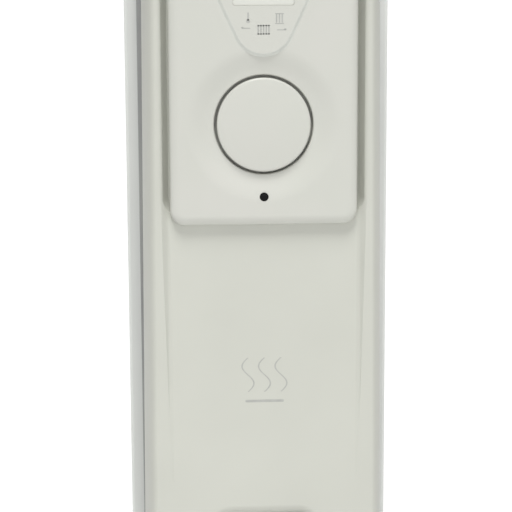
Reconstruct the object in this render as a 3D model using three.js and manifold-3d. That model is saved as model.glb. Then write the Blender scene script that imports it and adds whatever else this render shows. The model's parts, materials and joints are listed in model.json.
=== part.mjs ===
// An oil-filled radiator heater on castors: pressed steel fins on two headers, with a plastic
// control housing at the front end. Millimetres, +Z up. The control face looks along -Y.
// The origin is on the floor, under the middle of the heater.
import * as THREE from "three";
import { mergeVertices } from "three/addons/utils/BufferGeometryUtils.js";
import Module from "manifold-3d";

const wasm = await Module();
wasm.setup();

// ---------------------------------------------------------------- driving dimensions
const GAP = 0.3; // room left between two pieces that touch

// Radiator fins: two pressed sheets each, hollow inside, welded collar to collar
const FIN_COUNT = 9;
const FIN_PITCH = 38;
const FIN_WIDTH = 148.6;
const FIN_HEIGHT = 540;
const FIN_CORNER = 42;
const FIN_ABOVE_WHEELS = 32; // the castor wheels' tops to the fins' lower edge
const SHEET = 0.8; // one pressed sheet
const HEM_DEPTH = 6; // edge turned back along +Y
const HEADER_INSET = 46; // fin's end to the header's centre
const COLLAR_RADIUS = 21;
const COLLAR_BORE = 17;
const BOSS_SIDES = 12;
const BORE_SIDES = 8;
const BOSS_RADIUS = 34;
const BOSS_RISE = 10; // boss's top from the fin's middle plane
const COLUMN_OFFSET = 20; // oil column's centre from the fin's centre line
const COLUMN_BASE = 26;
const COLUMN_TOP = 16;
const COLUMN_RISE = 6.5; // proud of the sheet

// Electric elements in the lower header
const ELEMENT_RADIUS = 3.5;
const ROD_SIDES = 8;
const ELEMENT_END_ROOM = 24; // the last fin's middle to an element's bend
const ELEMENT_SPACING = 13; // between a U's two legs, and between the two U's
const FLANGE_THICKNESS = 4;
const GASKET_THICKNESS = 1;
const TERMINAL_LENGTH = 12;

// Control housing. A reach is a distance in front of the first fin's middle plane.
const COVER_WIDTH = 131;
const COVER_ABOVE_BASE = 14; // the fins' lower edge to the cover's
const COVER_ABOVE_TOP = 16; // the fins' upper edge to the cover's
const COVER_TOP_CORNER = 48;
const COVER_BOTTOM_CORNER = 24;
const COVER_ROUND_SIDE = 9.4; // the front edge's rounding, sideways
const COVER_ROUND_DEPTH = 25; // and front to back
const WALL = 2.4;
const SHELL_WALL = 2.2;
const SHIELD_THICKNESS = 1;
const SHIELD_REACH = 11.5;
const SHIELD_WIDTH = 136.8;
const SHELL_REAR_REACH = 16;
const SHELL_FRONT_REACH = 41.5;
const RIM_REACH = 39; // the front cover's rear edge
const FLOOR_REACH = 61; // the floor of the fascia's seat
const PANEL_REACH = 66.5; // the shallow recessed panel below the fascia
const RIDGE_REACH = 68; // the ridge on each side of it
const FACE_REACH = 70; // the fascia's face
const RECESS_WIDTH = 102.4; // the recessed panel
const RECESS_SLOPE = 3; // sideways run from the panel up to the ridge
const RECESS_END = 14; // cover's end to the recessed panel's end

// Fascia, display and dial
const DIAL_BELOW_TOP = 158; // the cover's top to the dial's centre
const DIAL_RADIUS = 24.9;
const DIAL_CLEARANCE = 1.5;
const DIAL_CROWN = 1;
const DIAL_TRAVEL = 1;
const DIAL_SKIRT = 2;
const DISH_RADIUS = 42;
const DISH_DEPTH = 2.2;
const FASCIA_WIDTH = 98;
const FASCIA_HEIGHT = 180;
const FASCIA_BELOW_DIAL = 52.5;
const FASCIA_BOTTOM_CORNER = 6.5;
const FASCIA_TOP_CORNER = 34;
const SEAT_GAP = 5; // the shadow gap at the fascia's sides and top
const SEAT_GAP_BELOW = 1;
const BEZEL_TIP_ABOVE_DIAL = 35.4;
const BEZEL_TIP_RADIUS = 17;
const BEZEL_FLARE = 25; // degrees from upright
const BEZEL_SHOULDER = 47; // tip to where the sides end
const BEZEL_HEIGHT = 60;
const BEZEL_PROUD = 1.5;
const DISPLAY_WIDTH = 32.4;
const DISPLAY_HEIGHT = 20;
const DISPLAY_ABOVE_DIAL = 62.7; // dial's centre to the display's lower edge
const RECEIVER_RADIUS = 2.4;
const RECEIVER_BELOW_DIAL = 38.5;
const SHAFT_RADIUS = 2.8;
const BOARD = 1.6; // a circuit board's thickness
const CONTROL_BOARD_REACH = 55.4;

// Cord pocket in the front cover
const POCKET_WIDTH = 54.4;
const POCKET_HEIGHT = 100;
const POCKET_ABOVE_BASE = 70.4; // the cover's lower end to the pocket's
const POCKET_DEPTH = 26;
const POCKET_CORNER = 8;

// Handle over the housing
const HANDLE_WIDTH = 116;
const HANDLE_RISE = 46; // above the rear shell's top
const HANDLE_BAR = 16;
const HANDLE_DEPTH = 21;

// Feet and castors
const FOOT_WIDTH = 244;
const FOOT_DEPTH = 44;
const FOOT_HEIGHT = 18;
const FOOT_SHEET = 2;
const BOLT_WIRE = 3; // U-bolt's wire radius
const CASTOR_SPAN = 204; // between the left and right stems
const CASTOR_TRAIL = 14;
const WHEEL_RADIUS = 20;
const WHEEL_WIDTH = 16;
const WHEEL_SIDES = 24;
const AXLE_RADIUS = 2.5;
const STEM_RADIUS = 4;
const SCREW_RADIUS = 1.5;
const SCREW_HEAD_RADIUS = 4;
const SCREW_INSET_X = 15; // cover's side to a screw
const SCREW_INSET_Z = 28; // cover's end to a screw

// ---------------------------------------------------------------- derived places
const FIN_BASE = 2 * WHEEL_RADIUS + FIN_ABOVE_WHEELS;
const FIN_TOP = FIN_BASE + FIN_HEIGHT;
const COLLAR_REACH = FIN_PITCH / 2 - GAP / 2;
const PLUG_HEIGHT = 6;
const REAR_REACH = (FIN_COUNT - 1) * FIN_PITCH + COLLAR_REACH + GAP + PLUG_HEIGHT;
const FRONT_REACH = FACE_REACH + Math.max(DIAL_CROWN, BEZEL_PROUD);
const FIRST_FIN_Y = (FRONT_REACH - REAR_REACH) / 2;
const ELEMENT_LENGTH = (FIN_COUNT - 1) * FIN_PITCH - ELEMENT_END_ROOM; // behind the flange
const LOWER_HEADER = FIN_BASE + HEADER_INSET;
const UPPER_HEADER = FIN_TOP - HEADER_INSET;
const COVER_BASE = FIN_BASE + COVER_ABOVE_BASE;
const COVER_TOP = FIN_TOP + COVER_ABOVE_TOP;
const DIAL_HEIGHT = COVER_TOP - DIAL_BELOW_TOP;
const SHELL_INSET = WALL + GAP; // rear shell's outline inside the cover's
const SHELL_TOP = COVER_TOP - SHELL_INSET;
const SHELL_BASE = COVER_BASE + SHELL_INSET;
const POCKET_BASE = COVER_BASE + POCKET_ABOVE_BASE;
const POWER_BASE = COVER_BASE + 214; // the power board's lower edge
const FASCIA_BASE = DIAL_HEIGHT - FASCIA_BELOW_DIAL;
const FASCIA_TOP = FASCIA_BASE + FASCIA_HEIGHT;
const BEZEL_BASE = DIAL_HEIGHT + BEZEL_TIP_ABOVE_DIAL;
const DISPLAY_BASE = DIAL_HEIGHT + DISPLAY_ABOVE_DIAL;
const DISPLAY_MIDDLE = DISPLAY_BASE + DISPLAY_HEIGHT / 2;
const AXLE_HEIGHT = WHEEL_RADIUS * Math.cos(Math.PI / WHEEL_SIDES); // the wheel stands on a flat
const FOOT_TOP = FIN_BASE - GAP;
const FOOT_BASE = FOOT_TOP - FOOT_HEIGHT;
const FRONT_FOOT_Y = FIRST_FIN_Y + FIN_PITCH / 2;
const REAR_FOOT_Y = FIRST_FIN_Y + (FIN_COUNT - 1.5) * FIN_PITCH;

const front = (reach) => FIRST_FIN_Y - reach; // Y of a reach

// ---------------------------------------------------------------- materials
function paint(color, roughness, metalness) {
  return new THREE.MeshStandardMaterial({ color, roughness, metalness });
}
const finEnamel = paint(0xd3d4d1, 0.4, 0.1);
const casePlastic = paint(0xd9dad3, 0.5, 0);
const facePlastic = paint(0xdcddd6, 0.45, 0);
const shieldSteel = paint(0x55575a, 0.6, 0.4);
const rearPlastic = paint(0xc9cac5, 0.6, 0);
const clearPlastic = paint(0xe8eae2, 0.1, 0);
const blackPlastic = paint(0x17181a, 0.4, 0);
const zincSteel = paint(0xb4b7ba, 0.35, 0.9);
const boardGreen = paint(0x2f6b45, 0.5, 0);
const rubber = paint(0x2a2a2c, 0.8, 0);
const brass = paint(0xb8975a, 0.35, 0.9);
const nylon = paint(0x3a3c3f, 0.5, 0);

// ---------------------------------------------------------------- solids
// A closed geometry as a manifold solid, facing out whichever way its profile was drawn.
function solid(geometry) {
  const bare = geometry.index ? geometry.toNonIndexed() : geometry.clone();
  bare.deleteAttribute("normal");
  bare.deleteAttribute("uv");
  const welded = mergeVertices(bare, 1e-4);
  const corners = welded.index.array;
  const kept = [];
  for (let i = 0; i < corners.length; i += 3) {
    const [a, b, c] = corners.slice(i, i + 3);
    if (a !== b && b !== c && c !== a) kept.push(a, b, c);
  }
  const vertProperties = welded.attributes.position.array;
  const make = (list) =>
    new wasm.Manifold(
      new wasm.Mesh({ numProp: 3, vertProperties, triVerts: new Uint32Array(list) }),
    );
  const made = make(kept);
  return made.volume() < 0 ? make(kept.reverse()) : made;
}

const join = (first, ...rest) => rest.reduce((sum, next) => sum.add(next), first);
const cut = (first, ...rest) => rest.reduce((left, next) => left.subtract(next), first);

// Extrusions of an outline: along Y from (x, z), along Z from (x, y), along X from (y, z).
function alongY(shape, from, to, options = {}) {
  const made = new THREE.ExtrudeGeometry(shape, {
    depth: to - from,
    bevelEnabled: false,
    curveSegments: 3,
    ...options,
  });
  return solid(made.rotateX(Math.PI / 2).translate(0, to, 0));
}
function alongZ(shape, from, to, curveSegments = 3) {
  const made = new THREE.ExtrudeGeometry(shape, {
    depth: to - from,
    bevelEnabled: false,
    curveSegments,
  });
  return solid(made.translate(0, 0, from));
}
function alongX(shape, from, to, curveSegments = 3) {
  const made = new THREE.ExtrudeGeometry(shape, {
    depth: to - from,
    bevelEnabled: false,
    curveSegments,
  });
  const turn = new THREE.Matrix4().makeBasis(
    new THREE.Vector3(0, 1, 0),
    new THREE.Vector3(0, 0, 1),
    new THREE.Vector3(1, 0, 0),
  );
  return solid(made.applyMatrix4(turn).translate(from, 0, 0));
}

function block(x0, x1, y0, y1, z0, z1) {
  const made = new THREE.BoxGeometry(x1 - x0, y1 - y0, z1 - z0);
  return solid(made.translate((x0 + x1) / 2, (y0 + y1) / 2, (z0 + z1) / 2));
}

// A profile of [radius, place along the axis] points turned round an axis through a point.
function turned(axis, profile, sides, x = 0, y = 0, z = 0, start = 0) {
  const points = profile.map(([r, along]) => new THREE.Vector2(r, along));
  const made = new THREE.LatheGeometry(points, sides, start);
  if (axis === "z") made.rotateX(Math.PI / 2);
  if (axis === "x") made.rotateZ(-Math.PI / 2);
  return solid(made.translate(x, y, z));
}
const rod = (axis, radius, from, to, sides, x = 0, y = 0, z = 0) =>
  turned(axis, [[0, from], [radius, from], [radius, to], [0, to]], sides, x, y, z);

// A rectangle with its own corner radius at the bottom and at the top.
function roundedOutline(width, low, high, bottomCorner, topCorner = bottomCorner) {
  const half = width / 2;
  const shape = new THREE.Shape();
  shape.moveTo(-half + bottomCorner, low);
  shape.lineTo(half - bottomCorner, low);
  shape.absarc(half - bottomCorner, low + bottomCorner, bottomCorner, -Math.PI / 2, 0);
  shape.lineTo(half, high - topCorner);
  shape.absarc(half - topCorner, high - topCorner, topCorner, 0, Math.PI / 2);
  shape.lineTo(-half + topCorner, high);
  shape.absarc(-half + topCorner, high - topCorner, topCorner, Math.PI / 2, Math.PI);
  shape.lineTo(-half, low + bottomCorner);
  shape.absarc(-half + bottomCorner, low + bottomCorner, bottomCorner, Math.PI, 1.5 * Math.PI);
  return shape;
}

// ---------------------------------------------------------------- the scene graph
const heater = new THREE.Group();

function piece(name, made, material, parent = heater) {
  const { numProp, vertProperties, triVerts } = made.getMesh();
  if (numProp !== 3) throw new Error(name + " should hold positions only");
  const geometry = new THREE.BufferGeometry()
    .setAttribute("position", new THREE.BufferAttribute(new Float32Array(vertProperties), 3))
    .setIndex(new THREE.BufferAttribute(new Uint32Array(triVerts), 1))
    .toNonIndexed();
  geometry.computeVertexNormals();
  const mesh = new THREE.Mesh(geometry, material);
  mesh.name = name;
  parent.add(mesh);
  return mesh;
}

// ---------------------------------------------------------------- radiator
// Two oil columns, seen from above, grown or shrunk by an offset.
function columns(offset, low, high) {
  const base = COLUMN_BASE / 2 + offset;
  const top = COLUMN_TOP / 2 + offset;
  const rise = COLUMN_RISE + SHEET + offset;
  const section = [
    [-base, -SHEET], [-top, -rise], [top, -rise], [base, -SHEET],
    [base, SHEET], [top, rise], [-top, rise], [-base, SHEET],
  ];
  const shape = new THREE.Shape(section.map(([x, y]) => new THREE.Vector2(x, y)));
  const one = alongZ(shape, low, high);
  return join(one.translate([-COLUMN_OFFSET, 0, 0]), one.translate([COLUMN_OFFSET, 0, 0]));
}

// One fin about its own middle plane. The first fin's upper front and the last fin's rear are closed.
function fin(isFirst, isLast) {
  const outline = roundedOutline(FIN_WIDTH, FIN_BASE, FIN_TOP, FIN_CORNER);
  const inset = 2 * SHEET;
  const inside = roundedOutline(FIN_WIDTH - 2 * inset, FIN_BASE + inset, FIN_TOP - inset, FIN_CORNER - inset);
  const edge = roundedOutline(FIN_WIDTH, FIN_BASE, FIN_TOP, FIN_CORNER);
  edge.holes.push(inside);
  const sheets = alongY(outline, -SHEET, SHEET, { curveSegments: 2 });
  const hem = alongY(edge, 0, HEM_DEPTH, { curveSegments: 2 });
  const boss = [
    [0, -COLLAR_REACH], [COLLAR_RADIUS, -COLLAR_REACH], [COLLAR_RADIUS, -BOSS_RISE],
    [BOSS_RADIUS, 0], [COLLAR_RADIUS, BOSS_RISE], [COLLAR_RADIUS, COLLAR_REACH], [0, COLLAR_REACH],
  ];
  const closed = BOSS_RISE - SHEET;
  const bore = (fromOpen, toOpen, z) => {
    const from = fromOpen ? -COLLAR_REACH - 1 : -closed;
    const to = toOpen ? COLLAR_REACH + 1 : closed;
    return rod("y", COLLAR_BORE, from, to, BORE_SIDES, 0, 0, z);
  };
  const outer = join(
    sheets, hem, columns(0, LOWER_HEADER, UPPER_HEADER),
    turned("y", boss, BOSS_SIDES, 0, 0, LOWER_HEADER), turned("y", boss, BOSS_SIDES, 0, 0, UPPER_HEADER),
  );
  return cut(
    outer, columns(-SHEET, LOWER_HEADER, UPPER_HEADER),
    bore(true, !isLast, LOWER_HEADER), bore(!isFirst, !isLast, UPPER_HEADER),
  );
}

for (let i = 0; i < FIN_COUNT; i++) {
  const made = piece("fin_" + (i + 1), fin(i === 0, i === FIN_COUNT - 1), finEnamel);
  made.position.y = FIRST_FIN_Y + i * FIN_PITCH;
}

// The filling plug is screwed against the last fin's lower collar.
const plugSeat = FIRST_FIN_Y + (FIN_COUNT - 1) * FIN_PITCH + COLLAR_REACH + GAP;
piece("filler_plug", join(
  rod("y", 11, plugSeat, plugSeat + 2, 16, 0, 0, LOWER_HEADER),
  rod("y", 8, plugSeat + 1, plugSeat + PLUG_HEIGHT, 6, 0, 0, LOWER_HEADER),
), zincSteel);

// ---------------------------------------------------------------- heating elements
const gasketReach = COLLAR_REACH + GAP;
const flangeReach = gasketReach + GASKET_THICKNESS + GAP;
const legHoles = (y0, y1, radius) => {
  const offset = ELEMENT_SPACING / 2;
  const hole = (x, z) => rod("y", radius, y0, y1, 10, x, 0, LOWER_HEADER + z);
  return [hole(-offset, -offset), hole(offset, -offset), hole(-offset, offset), hole(offset, offset)];
};
piece("element_gasket", cut(
  rod("y", COLLAR_RADIUS, front(gasketReach + GASKET_THICKNESS), front(gasketReach), 24, 0, 0, LOWER_HEADER),
  rod("y", COLLAR_BORE - 1, front(gasketReach) - 3, front(gasketReach) + 3, 24, 0, 0, LOWER_HEADER),
), rubber);
piece("element_flange", cut(
  rod("y", COLLAR_RADIUS + 2, front(flangeReach + FLANGE_THICKNESS), front(flangeReach), 24, 0, 0, LOWER_HEADER),
  ...legHoles(front(flangeReach + FLANGE_THICKNESS) - 1, front(flangeReach) + 1, ELEMENT_RADIUS + GAP),
), zincSteel);

// The middle line of a rod bent half round about the origin, from -X over +Z to +X, with a
// straight leg below each end. Its first and last steps are the legs.
class Hairpin extends THREE.Curve {
  constructor(bendRadius, depth, steps) {
    super();
    Object.assign(this, { bendRadius, depth, steps });
  }
  angleAt(u) {
    const turned = THREE.MathUtils.clamp((u * this.steps - 1) / (this.steps - 2), 0, 1);
    return Math.PI * (1 - turned);
  }
  getPointAt(u) {
    const angle = this.angleAt(u);
    const below = Math.max(1 - u * this.steps, u * this.steps - this.steps + 1, 0);
    const height = this.bendRadius * Math.sin(angle) - this.depth * below;
    return new THREE.Vector3(this.bendRadius * Math.cos(angle), 0, height);
  }
  getTangentAt(u) {
    const angle = this.angleAt(u);
    return new THREE.Vector3(Math.sin(angle), 0, -Math.cos(angle));
  }
}
function hairpin(rodRadius, bendRadius, depth, bendSteps) {
  const steps = bendSteps + 2;
  const section = new THREE.Shape();
  section.absarc(0, 0, rodRadius, 0, 2 * Math.PI);
  const extrudePath = new Hairpin(bendRadius, depth, steps);
  return solid(new THREE.ExtrudeGeometry(section, { steps, curveSegments: ROD_SIDES / 2, extrudePath }));
}

// One U-shaped element, lying level, its terminals in front of the flange.
function heatingElement(z) {
  const bend = ELEMENT_SPACING / 2;
  const turnY = front(flangeReach) + ELEMENT_LENGTH - bend;
  const depth = turnY - front(flangeReach + FLANGE_THICKNESS + TERMINAL_LENGTH);
  return hairpin(ELEMENT_RADIUS, bend, depth, 6).rotate([-90, 0, 0]).translate([0, turnY, z]);
}
piece("heating_element_low", heatingElement(LOWER_HEADER - ELEMENT_SPACING / 2), zincSteel);
piece("heating_element_high", heatingElement(LOWER_HEADER + ELEMENT_SPACING / 2), zincSteel);

// ---------------------------------------------------------------- housing
const screwX = COVER_WIDTH / 2 - SCREW_INSET_X;
const screwPlaces = [
  ["lower_left", -screwX, COVER_BASE + SCREW_INSET_Z],
  ["lower_right", screwX, COVER_BASE + SCREW_INSET_Z],
  ["upper_left", -screwX, COVER_TOP - SCREW_INSET_Z - 6],
  ["upper_right", screwX, COVER_TOP - SCREW_INSET_Z - 6],
];
const cutOut = { x: COLUMN_OFFSET, z: POWER_BASE, radius: 8, length: 14 }; // thermal cut-out on a column
const gland = { x: 34, y: front(27), radius: 5.6, bore: 3.6 };

// The cover's outline pulled in by an inset.
const coverOutline = (inset) =>
  roundedOutline(
    COVER_WIDTH - 2 * inset, COVER_BASE + inset, COVER_TOP - inset,
    COVER_BOTTOM_CORNER - inset, COVER_TOP_CORNER - inset,
  );
// A block with the cover's outline and its rounded front edge, cut square at the back.
function coverBlock(inset, rear, face) {
  const rounding = {
    bevelEnabled: true, bevelSegments: inset ? 2 : 3, bevelSize: COVER_ROUND_SIDE,
    bevelThickness: COVER_ROUND_DEPTH, bevelOffset: -COVER_ROUND_SIDE,
  };
  const long = alongY(coverOutline(inset), front(face), front(0), rounding)
    .translate([0, COVER_ROUND_DEPTH, 0]);
  return cut(long, block(-200, 200, front(rear), front(-200), 0, 2000));
}
// The recess in the cover's face: a panel with sloping sides, and the fascia's straight seat.
function recess(grow) {
  const low = COVER_BASE + RECESS_END;
  const high = COVER_TOP - RECESS_END;
  const width = RECESS_WIDTH + 2 * grow;
  const floor = roundedOutline(width, low - grow, high + grow, 16, 36);
  const seatWidth = FASCIA_WIDTH + 2 * SEAT_GAP + 2 * grow;
  const seat = roundedOutline(
    seatWidth, FASCIA_BASE - SEAT_GAP_BELOW - grow, FASCIA_TOP + SEAT_GAP + grow,
    FASCIA_BOTTOM_CORNER + SEAT_GAP, FASCIA_TOP_CORNER + SEAT_GAP,
  );
  const seatFloor = front(FLOOR_REACH - grow);
  const panel = front(PANEL_REACH - grow);
  const rise = RIDGE_REACH - PANEL_REACH;
  const sloped = alongY(floor, panel - 40, panel - rise, {
    curveSegments: 2, bevelEnabled: true, bevelSegments: 1, bevelSize: RECESS_SLOPE, bevelThickness: rise,
  });
  return join(sloped, alongY(seat, seatFloor - 40, seatFloor));
}
function cordPocket(grow) {
  const outline = roundedOutline(
    POCKET_WIDTH + 2 * grow, POCKET_BASE - grow, POCKET_BASE + POCKET_HEIGHT + grow, POCKET_CORNER + grow);
  const mouth = grow > 0 ? PANEL_REACH - 1 : PANEL_REACH + 10;
  return alongY(outline, front(mouth), front(PANEL_REACH - POCKET_DEPTH - grow));
}
const screwBosses = (radius, from, to, sides) =>
  screwPlaces.map(([, x, z]) => rod("y", radius, front(to), front(from), sides, x, 0, z));

function frontCover() {
  const bossEnd = SHELL_REAR_REACH + SHELL_WALL + GAP;
  const outer = coverBlock(0, RIM_REACH, RIDGE_REACH);
  const hollow = cut(
    coverBlock(WALL, RIM_REACH - 1, RIDGE_REACH - WALL),
    recess(WALL), cordPocket(WALL), ...screwBosses(4.5, bossEnd, RIDGE_REACH - 1, 8),
  );
  const walls = join(outer, cordPocket(WALL), ...screwBosses(4.5, bossEnd, RIDGE_REACH - 1, 8));
  const opening = roundedOutline(FASCIA_WIDTH - 14, FASCIA_BASE + 10, FASCIA_TOP - 10, 4, 24);
  return cut(
    walls, hollow, recess(0), cordPocket(0),
    alongY(opening, front(FLOOR_REACH + 1), front(FLOOR_REACH - WALL - 1), { curveSegments: 4 }),
    ...screwBosses(SCREW_RADIUS + GAP, bossEnd - 1, bossEnd + 16, 8),
  );
}
piece("front_cover", frontCover(), casePlastic);

function rearShell() {
  const outside = alongY(coverOutline(SHELL_INSET), front(SHELL_FRONT_REACH), front(SHELL_REAR_REACH));
  const inside = alongY(
    coverOutline(SHELL_INSET + SHELL_WALL), front(SHELL_FRONT_REACH + 1), front(SHELL_REAR_REACH + SHELL_WALL));
  const through = (radius, x, z, sides) =>
    rod("y", radius, front(SHELL_FRONT_REACH), front(SHELL_REAR_REACH - 1), sides, x, 0, z);
  const slots = Array.from({ length: 6 }, (_, i) =>
    block(-42 + i * 7, -39 + i * 7, front(36), front(22), SHELL_BASE - 1, SHELL_BASE + SHELL_WALL + 1));
  const standOffs = [-42, 42].flatMap((x) => [POWER_BASE + 6, POWER_BASE + 104].map((z) =>
    rod("y", 3, front(23.7), front(SHELL_REAR_REACH + 1), 8, x, 0, z)));
  const tray = cut(
    outside, inside, ...slots,
    through(COLLAR_RADIUS + 4, 0, LOWER_HEADER, 20), through(COLLAR_RADIUS + 2, 0, UPPER_HEADER, 20),
    through(cutOut.radius + 1.5, cutOut.x, cutOut.z, 12),
    ...screwPlaces.map(([, x, z]) => through(SCREW_RADIUS + 0.6, x, z, 8)),
    rod("z", gland.radius + GAP, SHELL_BASE - 1, SHELL_BASE + SHELL_WALL + 1, 12, gland.x, gland.y),
  );
  return join(tray, ...standOffs);
}
piece("rear_shell", rearShell(), rearPlastic);

// A painted steel plate that keeps the first fin's heat off the housing.
function heatShield() {
  const outline = roundedOutline(SHIELD_WIDTH, COVER_BASE + 2, COVER_TOP - 22, 26, 50);
  const hole = (radius, x, z, sides) =>
    rod("y", radius, front(SHIELD_REACH + 5), front(SHIELD_REACH - 5), sides, x, 0, z);
  return cut(
    alongY(outline, front(SHIELD_REACH + SHIELD_THICKNESS), front(SHIELD_REACH)),
    hole(COLLAR_RADIUS + 4, 0, LOWER_HEADER, 20), hole(COLLAR_RADIUS + 4, 0, UPPER_HEADER, 20),
    hole(cutOut.radius + 1.5, cutOut.x, cutOut.z, 12),
  );
}
piece("heat_shield", heatShield(), shieldSteel);

for (const [place, x, z] of screwPlaces) {
  const head = front(SHELL_REAR_REACH - GAP);
  piece("cover_screw_" + place, join(
    rod("y", SCREW_HEAD_RADIUS, head, head + 2.2, 10, x, 0, z),
    rod("y", SCREW_RADIUS, head - 16, head + 1, 8, x, 0, z),
  ), zincSteel);
}

piece("cord_gland", cut(
  turned("z", [[0, SHELL_BASE - 6], [7, SHELL_BASE - 6], [9, SHELL_BASE - 3], [9, SHELL_BASE - GAP],
    [gland.radius, SHELL_BASE - GAP], [gland.radius, SHELL_BASE + 10], [0, SHELL_BASE + 10]],
  14, gland.x, gland.y),
  rod("z", gland.bore, SHELL_BASE - 7, SHELL_BASE + 11, 12, gland.x, gland.y),
), blackPlastic);

// The cleat in the cord pocket: a foot, a waist for the turns of cord, and a plate that keeps them on.
function cordCleat() {
  const base = PANEL_REACH - POCKET_DEPTH + GAP;
  const middle = POCKET_BASE + POCKET_HEIGHT / 2;
  const slab = (width, height, corner, from, to) =>
    alongY(roundedOutline(width, middle - height / 2, middle + height / 2, corner), front(to), front(from),
      { curveSegments: 3 });
  return join(
    slab(24, 46, 4, base, base + 2.5), slab(14, 34, 4, base + 1, base + 21), slab(25, 68, 10, base + 19, base + 22.5));
}
piece("cord_cleat", cordCleat(), casePlastic);

// The handle is an arch that stands on the rear shell's shoulders.
function carryHandle() {
  const top = SHELL_TOP + HANDLE_RISE;
  const arch = roundedOutline(HANDLE_WIDTH, SHELL_TOP - 24, top, 4, 32);
  const grip = roundedOutline(
    HANDLE_WIDTH - 2 * HANDLE_BAR, SHELL_TOP - 40, top - HANDLE_BAR, 4, 20);
  const rear = front(SHELL_REAR_REACH + 1);
  const fore = rear - HANDLE_DEPTH;
  const seat = coverOutline(SHELL_INSET - GAP);
  const rounding = {
    bevelEnabled: true, bevelSegments: 2, bevelSize: 3, bevelThickness: 3, bevelOffset: -3 };
  return cut(
    alongY(arch, fore + 6, rear, rounding).translate([0, -3, 0]),
    alongY(grip, fore - 1, rear + 1), alongY(seat, fore - 1, rear + 1),
  );
}
piece("carry_handle", carryHandle(), casePlastic);

// ---------------------------------------------------------------- fascia, display and dial
// The bezel: a round tip, sides that flare upwards, round shoulders and a nearly level top.
function bezelOutline(inset) {
  const flare = THREE.MathUtils.degToRad(BEZEL_FLARE);
  const tip = BEZEL_TIP_RADIUS - inset;
  const tipZ = BEZEL_BASE + BEZEL_TIP_RADIUS;
  const top = BEZEL_BASE + BEZEL_HEIGHT - inset;
  const shoulder = BEZEL_HEIGHT - BEZEL_SHOULDER - inset;
  const side = { x: tip * Math.cos(flare), z: tipZ - tip * Math.sin(flare) };
  const cornerZ = top - shoulder;
  const outerX = side.x + (cornerZ - side.z) * Math.tan(flare);
  const cornerX = outerX - shoulder;
  const shape = new THREE.Shape();
  shape.moveTo(0, tipZ - tip);
  shape.absarc(0, tipZ, tip, -Math.PI / 2, -flare);
  shape.lineTo(outerX, cornerZ);
  shape.absarc(cornerX, cornerZ, shoulder, 0, Math.PI / 2);
  shape.lineTo(-cornerX, top);
  shape.absarc(-cornerX, cornerZ, shoulder, Math.PI / 2, Math.PI);
  shape.lineTo(-side.x, side.z);
  shape.absarc(0, tipZ, tip, Math.PI + flare, 1.5 * Math.PI);
  return shape;
}
const displayOutline = (grow) =>
  roundedOutline(DISPLAY_WIDTH + 2 * grow, DISPLAY_BASE - grow, DISPLAY_BASE + DISPLAY_HEIGHT + grow, 1.5 + grow);

function fascia() {
  const low = FLOOR_REACH + GAP;
  const skin = FACE_REACH - WALL;
  const outline = (inset) => roundedOutline(
    FASCIA_WIDTH - 2 * inset, FASCIA_BASE + inset, FASCIA_TOP - inset,
    FASCIA_BOTTOM_CORNER - inset, FASCIA_TOP_CORNER - inset);
  const edge = { bevelEnabled: true, bevelSegments: 2, bevelSize: 1.4, bevelThickness: 1.4, bevelOffset: -1.4 };
  const outer = cut(
    alongY(outline(0), front(FACE_REACH), front(low), edge).translate([0, 1.4, 0]),
    block(-100, 100, front(low), front(low - 10), 0, 2000));
  const ring = rod("y", DISH_RADIUS + 3, front(skin + 1), front(skin - DISH_DEPTH), 28, 0, 0, DIAL_HEIGHT);
  const dish = [
    [0, front(FACE_REACH + 1)], [DISH_RADIUS + 1, front(FACE_REACH + 1)], [DISH_RADIUS, front(FACE_REACH)],
    [DISH_RADIUS - 6, front(FACE_REACH - DISH_DEPTH * 0.6)], [DIAL_RADIUS, front(FACE_REACH - DISH_DEPTH)],
    [0, front(FACE_REACH - DISH_DEPTH)],
  ];
  const posts = [-37, 37].flatMap((x) => [DIAL_HEIGHT - 33, DIAL_HEIGHT + 94].map((z) =>
    rod("y", 3, front(skin + 1), front(CONTROL_BOARD_REACH + BOARD + GAP), 8, x, 0, z)));
  const tray = join(cut(outer, alongY(outline(WALL), front(skin), front(low - 1))), ring, ...posts);
  return cut(
    tray, turned("y", dish, 28, 0, 0, DIAL_HEIGHT),
    rod("y", DIAL_RADIUS + DIAL_CLEARANCE, front(FACE_REACH + 1), front(low - 1), 28, 0, 0, DIAL_HEIGHT),
    rod("y", RECEIVER_RADIUS + GAP, front(FACE_REACH + 1), front(low - 1), 12,
      0, 0, DIAL_HEIGHT - RECEIVER_BELOW_DIAL),
    alongY(bezelOutline(-GAP), front(FACE_REACH + 1), front(skin - 1), { curveSegments: 4 }),
  );
}
piece("fascia", fascia(), facePlastic);

function displayBezel() {
  const back = FACE_REACH - WALL;
  const slope = { bevelEnabled: true, bevelSegments: 1, bevelSize: 3, bevelThickness: BEZEL_PROUD, bevelOffset: -3 };
  const raised = alongY(bezelOutline(0), front(FACE_REACH), front(back), { ...slope, curveSegments: 4 });
  return cut(
    raised, block(-60, 60, front(back), front(back - 10), 0, 2000),
    alongY(displayOutline(GAP), front(FACE_REACH + 5), front(back - 1), { curveSegments: 2 }));
}
piece("display_bezel", displayBezel(), facePlastic);
piece("display_window", alongY(
  displayOutline(0), front(FACE_REACH + 0.6), front(FACE_REACH - 0.8), { curveSegments: 2 }), clearPlastic);
piece("display_module", join(
  block(-19, 19, front(FACE_REACH - WALL - GAP), front(FACE_REACH - 6), DISPLAY_MIDDLE - 14, DISPLAY_MIDDLE + 14),
  block(-17, 17, front(FACE_REACH - 5), front(CONTROL_BOARD_REACH + BOARD + GAP), DISPLAY_MIDDLE - 12, DISPLAY_MIDDLE + 12),
), rearPlastic);

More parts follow.
